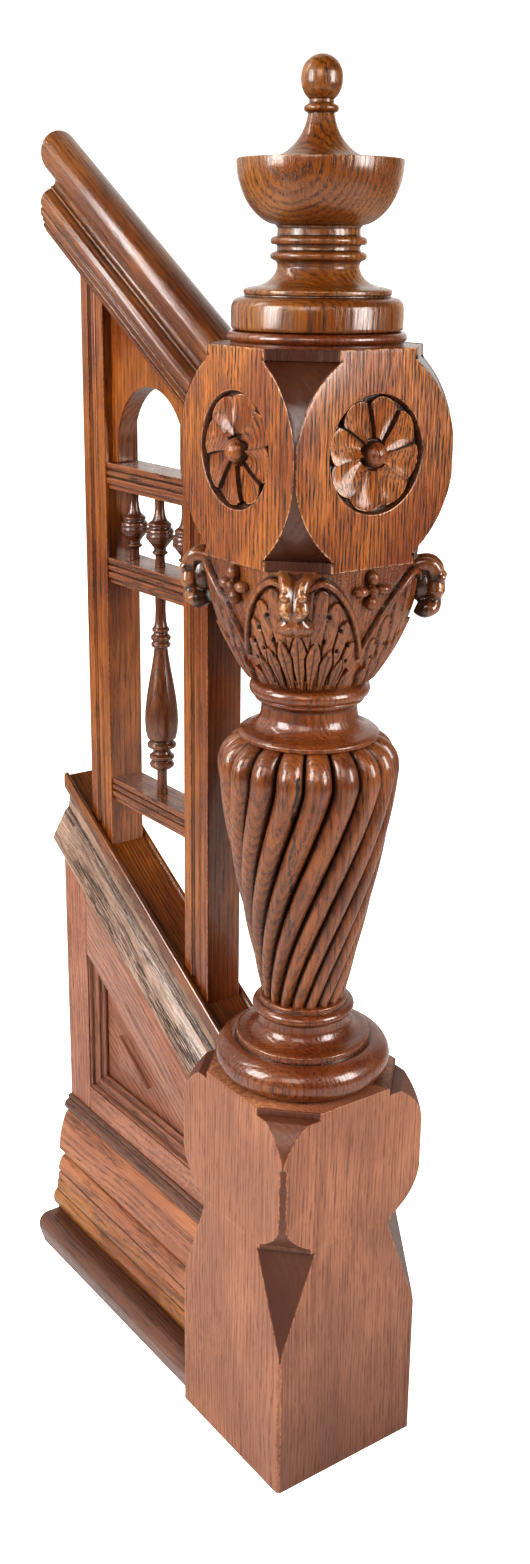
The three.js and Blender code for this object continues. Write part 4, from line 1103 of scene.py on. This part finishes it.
# Spindles turned from small oak stock and pegged between the cross rails: three ringed bulbs in the
# upper gap and one pear shape in the lower.
spindle_pitch = 60
short_radius = 17
long_radius = 21
short_shares = [
    [0.38, 0], [0.34, 0.1], [0.34, 0.17], [0.5, 0.185], [0.56, 0.2], [0.56, 0.215], [0.42, 0.235],
    [0.44, 0.27],
    [0.62, 0.32], [0.8, 0.36], [0.84, 0.385], [0.94, 0.39], [1, 0.42], [1, 0.45], [0.94, 0.475],
    [0.98, 0.48], [1, 0.51], [0.96, 0.54], [0.82, 0.56], [0.8, 0.575], [0.84, 0.59], [0.84, 0.615],
    [0.74, 0.635], [0.56, 0.66], [0.46, 0.7], [0.38, 0.76], [0.33, 0.85], [0.36, 1]]
long_shares = [
    [0.34, 0], [0.3, 0.06], [0.3, 0.125], [0.56, 0.13], [0.72, 0.14], [0.74, 0.155], [0.6, 0.168],
    [0.6, 0.174],     [0.74, 0.18], [0.76, 0.195], [0.56, 0.207], [0.52, 0.22], [0.6, 0.232],
    [0.86, 0.24], [0.88, 0.255], [0.72, 0.268],     [0.72, 0.274], [0.86, 0.285], [0.96, 0.32], [1, 0.37],
    [0.98, 0.42], [0.88, 0.49], [0.74, 0.56], [0.58, 0.63],     [0.46, 0.69], [0.4, 0.73], [0.42, 0.735],
    [0.56, 0.742], [0.58, 0.755], [0.48, 0.765], [0.48, 0.77], [0.58, 0.776],     [0.6, 0.79],
    [0.46, 0.8], [0.4, 0.81], [0.5, 0.816], [0.52, 0.828], [0.4, 0.838], [0.34, 0.86], [0.3, 0.92],
    [0.32, 1]]


def spindle(name, y, foot, head, radius, shares):
    """A spindle from shares of its widest radius and of its height."""
    height = head - foot
    profile = [[0.5, foot]] + [[radius * share, foot + height * up] for share, up in shares] + [[0.5, head]]
    return turned(name, profile, steps=40, radius=0.5, margin=1.0, centre=(0, y))


spindle_finish = oak("spindle oak", "up", (0.1, 0.03, 0.011), (0.19, 0.065, 0.016), (0.025, 0.008, 0.004),
                     ring=0.004, pores=0.5, light_share=0.6, wear=0.3, gloss=0.26, coat=0.5, bump=0.2,
                     seed=5.0)
for number in range(3):
    place = bay_middle + (number - 1) * spindle_pitch
    made = spindle(f"short_spindle_{number + 1}", place, middle_top + gap, upper_top - cross_height - gap,
                   short_radius, short_shares)
    dress(made, spindle_finish, "turned_oak", f"spindle_short_{number + 1}")
long_made = spindle("long_spindle", bay_middle, lower_top + gap, middle_top - cross_height - gap,
                    long_radius, long_shares)
dress(long_made, spindle_finish, "turned_oak", "spindle_long")

# Trough that the stiles stand in: an oak board laid up the rake on top of the string, channelled so
# that a small rounded lip is left along each side.
trough_half = 34
trough_thick = 24
trough_lip = 4


def raised(points):
    """A section listed from the trough's floor, lifted to it."""
    return [[x, z + floor_line_z] for x, z in points]


trough_left = [[-28, -trough_thick], [-30, -20.5], [-33.4, -17], [-trough_half, -14], [-trough_half, -2],
               [-33.6, 1.2], [-32.2, 3.2], [-30.6, trough_lip], [-28.8, trough_lip], [-27.2, 3],
               [-26.6, 0.4], [-25.4, 0]]
trough_section = trough_left + [[-x, z] for x, z in trough_left[::-1]]
trough = run("trough_board", raised(trough_section), run_start, run_end, 0.6, 1.6, rake)
dress(trough, rail_finish, "amber_oak", "string_trough")

# Cap of the string: an oak moulding nailed along the rake under the trough. Its show side is a broad
# bevel that throws out over the string, bleached and rubbed so that the grain stands up.
cap_reach = 53
cap_drop = 91
string_half = 37
cap_top = -trough_thick - gap
cap_section = raised([[-24, cap_top], [-26, -28], [-28.5, -46], [-34, -50], [-cap_reach + 1, -cap_drop + 9],
                      [-cap_reach, -cap_drop + 6], [-cap_reach, -cap_drop + 2], [-cap_reach + 3, -cap_drop],
                      [string_half, -cap_drop], [string_half, cap_top]])
string_cap = run("string_cap_bevel", cap_section, run_start, run_end, 1.4, 5, rake)
cap_finish = oak("cap oak", "rake", (0.26, 0.165, 0.115), (0.42, 0.29, 0.22), (0.1, 0.055, 0.036),
                 worn=(0.75, 0.42, 0.18), ring=0.005, pores=0.9, light_share=0.6, wear=0.9, gloss=0.36,
                 coat=0.3, bump=0.8, seed=6.0)
dress(string_cap, cap_finish, "string_oak", "string_cap")

# Frame of the string, tenoned together in oak: an upright stile at the far end, a raking rail under
# the cap and a bottom rail on the floor.
rake_rail_drop = 211
string_stile_y = run_end - 57
opening_start = run_start + 7.3
bottom_rail_top = floor_line(opening_start) - rake_rail_drop - gap
opening_foot = bottom_rail_top + gap


def cap_foot(y):
    """Height just under the cap."""
    return floor_line(y) - cap_drop - gap


def rail_foot(y):
    """Height of the raking rail's underside."""
    return floor_line(y) - rake_rail_drop


stile_side = string_stile_y + gap
stile_outline = [[stile_side, 0], [run_end, 0], [run_end, cap_foot(run_end)],
                 [stile_side, cap_foot(stile_side)]]
rake_outline = [[run_start, cap_foot(run_start)], [run_start, opening_foot], [opening_start, opening_foot],
                [string_stile_y, rail_foot(string_stile_y)], [string_stile_y, cap_foot(string_stile_y)]]
foot_outline = [[run_start, 0], [string_stile_y, 0], [string_stile_y, bottom_rail_top],
                [run_start, bottom_rail_top]]
string_stile = board("string_frame_stile", stile_outline, -string_half, string_half, 0.7)
raking_rail = board("string_frame_rake", rake_outline, -string_half, string_half, 0.7)
bottom_rail = board("string_frame_foot", foot_outline, -string_half, string_half, 0.7)
frame_look = dict(body=(0.26, 0.115, 0.072), light=(0.38, 0.19, 0.125), deep=(0.09, 0.034, 0.022),
                  worn=(0.4, 0.22, 0.15), ring=0.0045, pores=0.5, light_share=0.6, wear=0.3, gloss=0.42,
                  coat=0.12, bump=0.2)
upright_finish = oak("string oak upright", "up", seed=7.0, **frame_look)
raking_finish = oak("string oak raking", "rake", seed=7.5, **frame_look)
level_finish = oak("string oak level", "along", seed=8.0, **frame_look)
dress(string_stile, upright_finish, "string_oak", "string_stile")
dress(raking_rail, raking_finish, "string_oak", "string_raking_rail")
dress(bottom_rail, level_finish, "string_oak", "string_bottom_rail")

# Panel of the string: a thin oak board held in the three-cornered opening of the frame, with a small
# raised field of the same shape on its face.
panel_half = 20
field_proud = 5.5
field_near = 309
field_far = 386
field_foot = 326
opening_far = string_stile_y - gap
opening_near = floor_line_y + (opening_foot + rake_rail_drop + gap - floor_line_z) / rake
panel = board("panel_board", [[opening_near, opening_foot], [opening_far, opening_foot],
                              [opening_far, rail_foot(opening_far) - gap]], -panel_half, panel_half, 0.5)
field_outline = [[field_near, field_foot], [field_far, field_foot],
                 [field_far, field_foot + rake * (field_far - field_near)]]
field = board("panel_field", field_outline, -panel_half - field_proud, -panel_half + 4, 1.4)
dress(panel, raking_finish, "string_oak", "string_panel")
dress(field, raking_finish, "string_oak", "string_panel")

# Mouldings planted round the panel with fine nails: one oak length up its far side and one along its
# foot, mitred together.
moulding_width = 26
moulding_rings = 12
moulding_depth = string_half - panel_half - gap
planted_shares = [
    [0, 0], [0, 0.84], [0.03, 0.9], [0.1, 0.96], [0.17, 0.92], [0.2, 0.82], [0.22, 0.66], [0.26, 0.6],
    [0.34, 0.53], [0.46, 0.49], [0.56, 0.5], [0.62, 0.55], [0.64, 0.66], [0.68, 0.71], [0.76, 0.72],
    [0.8, 0.66], [0.82, 0.5], [0.86, 0.4], [0.94, 0.34], [1, 0.24], [1, 0]]
planted = [[moulding_width * across, moulding_depth * up] for across, up in planted_shares]
section, section_edge = soften(planted, 0.5, 1.2)
in_from_edge = section[:, 0]
outwards = -panel_half - gap - section[:, 1]
side_y = opening_far - in_from_edge
side_foot = opening_foot + in_from_edge + gap
side_head = rail_foot(side_y) - gap
side_rings = [np.column_stack([outwards, side_y, side_foot + share * (side_head - side_foot)])
              for share in np.linspace(0, 1, moulding_rings)]
side_moulding = skin("planted_moulding_side", side_rings, np.tile(section_edge, (moulding_rings, 1)))
foot_first = opening_near + in_from_edge / rake
foot_last = opening_far - in_from_edge
foot_level = opening_foot + in_from_edge
foot_rings = [np.column_stack([outwards, foot_first + share * (foot_last - foot_first), foot_level])
              for share in np.linspace(0, 1, moulding_rings)]
foot_moulding = skin("planted_moulding_foot", foot_rings, np.tile(section_edge, (moulding_rings, 1)))
moulding_look = dict(body=(0.2, 0.075, 0.04), light=(0.32, 0.13, 0.066), deep=(0.06, 0.022, 0.013),
                     worn=(0.34, 0.17, 0.1), dirt_and_shade=(0.035, 0.024, 0.014), ring=0.0042, pores=0.6,
                     light_share=0.6, wear=0.4, gloss=0.34, coat=0.3, bump=0.3)
upright_moulding = oak("moulding oak upright", "up", seed=9.0, **moulding_look)
level_moulding = oak("moulding oak level", "along", seed=9.5, **moulding_look)
dress(side_moulding, upright_moulding, "turned_oak", "panel_moulding_upright")
dress(foot_moulding, level_moulding, "turned_oak", "panel_moulding_foot")

# Skirting nailed to the show side of the string in five moulded lengths of oak, one over the other:
# cap bead, swelled board, step, bead and shoe.
skirt_top = 232
skirt_cap_foot = 206
skirt_board_foot = 134
skirt_bead_top = 97
shoe_top = 48
skirt_back = -string_half - gap


def skirting(name, points):
    """One length, from its show face listed from the top down."""
    section = [[skirt_back, points[0][1]], *points, [skirt_back, points[-1][1]]]
    return run(name, section, run_start, run_end, 0.8, 2.0)


skirt_cap = skirting("skirting_cap_bead", [
    [-39.5, skirt_top], [-42, skirt_top - 1.4], [-43, skirt_top - 4], [-41.4, skirt_top - 6.5],
    *arc([-43.2, skirt_cap_foot + 10], [5.6, 7.6], 115, 245, 9), [-42, skirt_cap_foot + gap]])
skirt_board = skirting("skirting_swelled_board", [
    *[[x, skirt_cap_foot - down] for x, down in (
        (-44, 0), (-47, 3), (-51.5, 13), (-55, 25), (-57.8, 38), (-59.5, 50), (-60, 58), (-58.6, 61.5),
        (-54, 64), (-52, 67))], [-52, skirt_board_foot + gap]])
skirt_step = skirting("skirting_stepped_board", [
    *[[x, skirt_board_foot - down] for x, down in (
        (-53, 0), (-56, 2), (-60, 9), (-62, 17), (-62, 22), (-59.4, 23.4), (-59.4, 25), (-62.4, 26.6))],
    [-63, skirt_bead_top + gap]])
bead_middle = (skirt_bead_top + shoe_top) / 2
skirt_bead = skirting("skirting_bead_board", [
    [-63, skirt_bead_top], [-64.6, skirt_bead_top - 3], [-65, skirt_bead_top - 8],
    *arc([-62.6, bead_middle - 4.5], [9.4, 14], 110, 250, 10), [-64, shoe_top + gap]])
skirt_shoe = skirting("skirting_round_shoe", [
    [-72, shoe_top], *arc([-84, shoe_top - 17], [13.4, 16.9], 92, 212, 12), [-93.4, 14], [-91, 7],
    [-89.5, 0]])
skirt_look = dict(ring=0.0046, pores=0.55, light_share=0.7, wear=0.5)
skirt_dark = oak("skirting oak dark", "along", (0.136, 0.056, 0.032), (0.224, 0.096, 0.052),
                 (0.04, 0.018, 0.011), worn=(0.34, 0.18, 0.11), gloss=0.36, coat=0.3, bump=0.35, seed=10.0,
                 **skirt_look)
skirt_red = oak("skirting oak red", "along", (0.281, 0.111, 0.055), (0.391, 0.17, 0.076),
                (0.102, 0.038, 0.021), worn=(0.42, 0.22, 0.12), gloss=0.36, coat=0.25, bump=0.25, seed=11.0,
                **skirt_look)
skirt_gold = oak("skirting oak gold", "along", (0.225, 0.075, 0.022), (0.39, 0.18, 0.045),
                 (0.06, 0.019, 0.01), worn=(0.5, 0.27, 0.12), gloss=0.28, coat=0.4, bump=0.25, seed=12.0,
                 **skirt_look)
dress(skirt_cap, skirt_dark, "turned_oak", "skirting_cap")
dress(skirt_board, skirt_red, "string_oak", "skirting_board")
dress(skirt_step, skirt_red, "string_oak", "skirting_step")
dress(skirt_bead, skirt_gold, "amber_oak", "skirting_bead")
dress(skirt_shoe, skirt_dark, "turned_oak", "skirting_shoe")

# Studio: a plain pale painted floor under a bright room whose far wall throws back the most light,
# two large soft lamps left and right of the post, a weaker one in front and one over the handrail.
floor_half = 14
floor_light = 0.8
wall_towards = (0.25, 0.97, 0.0)
wall_dim = 0.09
wall_bright = 0.85
lamp_aim = (0, 0, 0.9)
floor_mesh = bpy.data.meshes.new("floor")
floor_corners = [(x * floor_half, y * floor_half, 0) for x, y in ((-1, -1), (1, -1), (1, 1), (-1, 1))]
floor_mesh.from_pydata(floor_corners, [], [(0, 1, 2, 3)])
floor = bpy.data.objects.new("floor", floor_mesh)
bpy.context.scene.collection.objects.link(floor)
floor_paint = bpy.data.materials.new("pale floor")
floor_paint.use_nodes = True
floor_shader = floor_paint.node_tree.nodes["Principled BSDF"]
floor_shader.inputs["Base Color"].default_value = (0.8, 0.8, 0.8, 1)
floor_shader.inputs["Roughness"].default_value = 0.9
floor_shader.inputs["Emission Strength"].default_value = floor_light
in_view = floor_paint.node_tree.nodes.new("ShaderNodeLightPath").outputs["Is Camera Ray"]
feed(floor_paint.node_tree, floor_shader.inputs["Emission Color"], in_view)
floor_mesh.materials.append(floor_paint)

world = bpy.data.worlds.new("bright room")
bpy.context.scene.world = world
world.use_nodes = True
room = world.node_tree
backdrop = room.nodes["Background"]
backdrop.inputs["Color"].default_value = (1, 1, 1, 1)
walls = room.nodes.new("ShaderNodeBackground")
walls.inputs["Color"].default_value = (1, 0.98, 0.96, 1)
facing = room.nodes.new("ShaderNodeVectorMath")
facing.operation = "DOT_PRODUCT"
feed(room, facing.inputs[0], room.nodes.new("ShaderNodeTexCoord").outputs["Generated"])
facing.inputs[1].default_value = wall_towards
feed(room, walls.inputs["Strength"], remap(room, facing.outputs["Value"], 0.1, 0.7, wall_dim, wall_bright))
seen = room.nodes.new("ShaderNodeMixShader")
feed(room, seen.inputs["Fac"], room.nodes.new("ShaderNodeLightPath").outputs["Is Camera Ray"])
feed(room, seen.inputs[1], walls.outputs["Background"])
feed(room, seen.inputs[2], backdrop.outputs["Background"])
feed(room, room.nodes["World Output"].inputs["Surface"], seen.outputs["Shader"])
bpy.context.scene.view_settings.view_transform = "Standard"
bpy.context.scene.view_settings.look = "High Contrast"


def lamp(name, place, aim, size, watts):
    """A soft oblong lamp in metres, turned towards what it lights."""
    data = bpy.data.lights.new(name, "AREA")
    data.shape = "RECTANGLE"
    data.size, data.size_y = size
    data.energy = watts
    made = bpy.data.objects.new(name, data)
    bpy.context.scene.collection.objects.link(made)
    made.location = place
    towards = np.array(aim, float) - np.array(place, float)
    flat = math.hypot(towards[0], towards[1])
    made.rotation_euler = (math.atan2(flat, -towards[2]), 0, math.atan2(-towards[0], towards[1]))


lamp("left lamp", (-2.56, 0.45, 1.9), lamp_aim, (1.2, 1.6), 88)
lamp("right lamp", (1.1, -2.4, 1.8), lamp_aim, (1.2, 1.6), 84)
lamp("front lamp", (-2.0, -1.7, 2.4), lamp_aim, (1.3, 1.3), 26)
lamp("rail lamp", (-1.6, 1.5, 2.9), (0, 0.3, 1.3), (0.22, 1.4), 16)

# Camera at the photograph's place, a little above the head of the post and looking down. Its place,
# turn and lens were fitted to the photograph with the square block at its real width.
camera_data = bpy.data.cameras.new("camera")
camera = bpy.data.objects.new("camera", camera_data)
bpy.context.scene.collection.objects.link(camera)
camera.location = (-1.0134, -1.3199, 1.4172)
camera.rotation_euler = [math.radians(a) for a in (72.272, -0.490, -35.207)]
camera_data.lens = 36.338
camera_data.sensor_width = 36
camera_data.shift_x = 0.00843
camera_data.shift_y = -0.02013
camera_data.clip_start = 0.05
bpy.context.scene.camera = camera
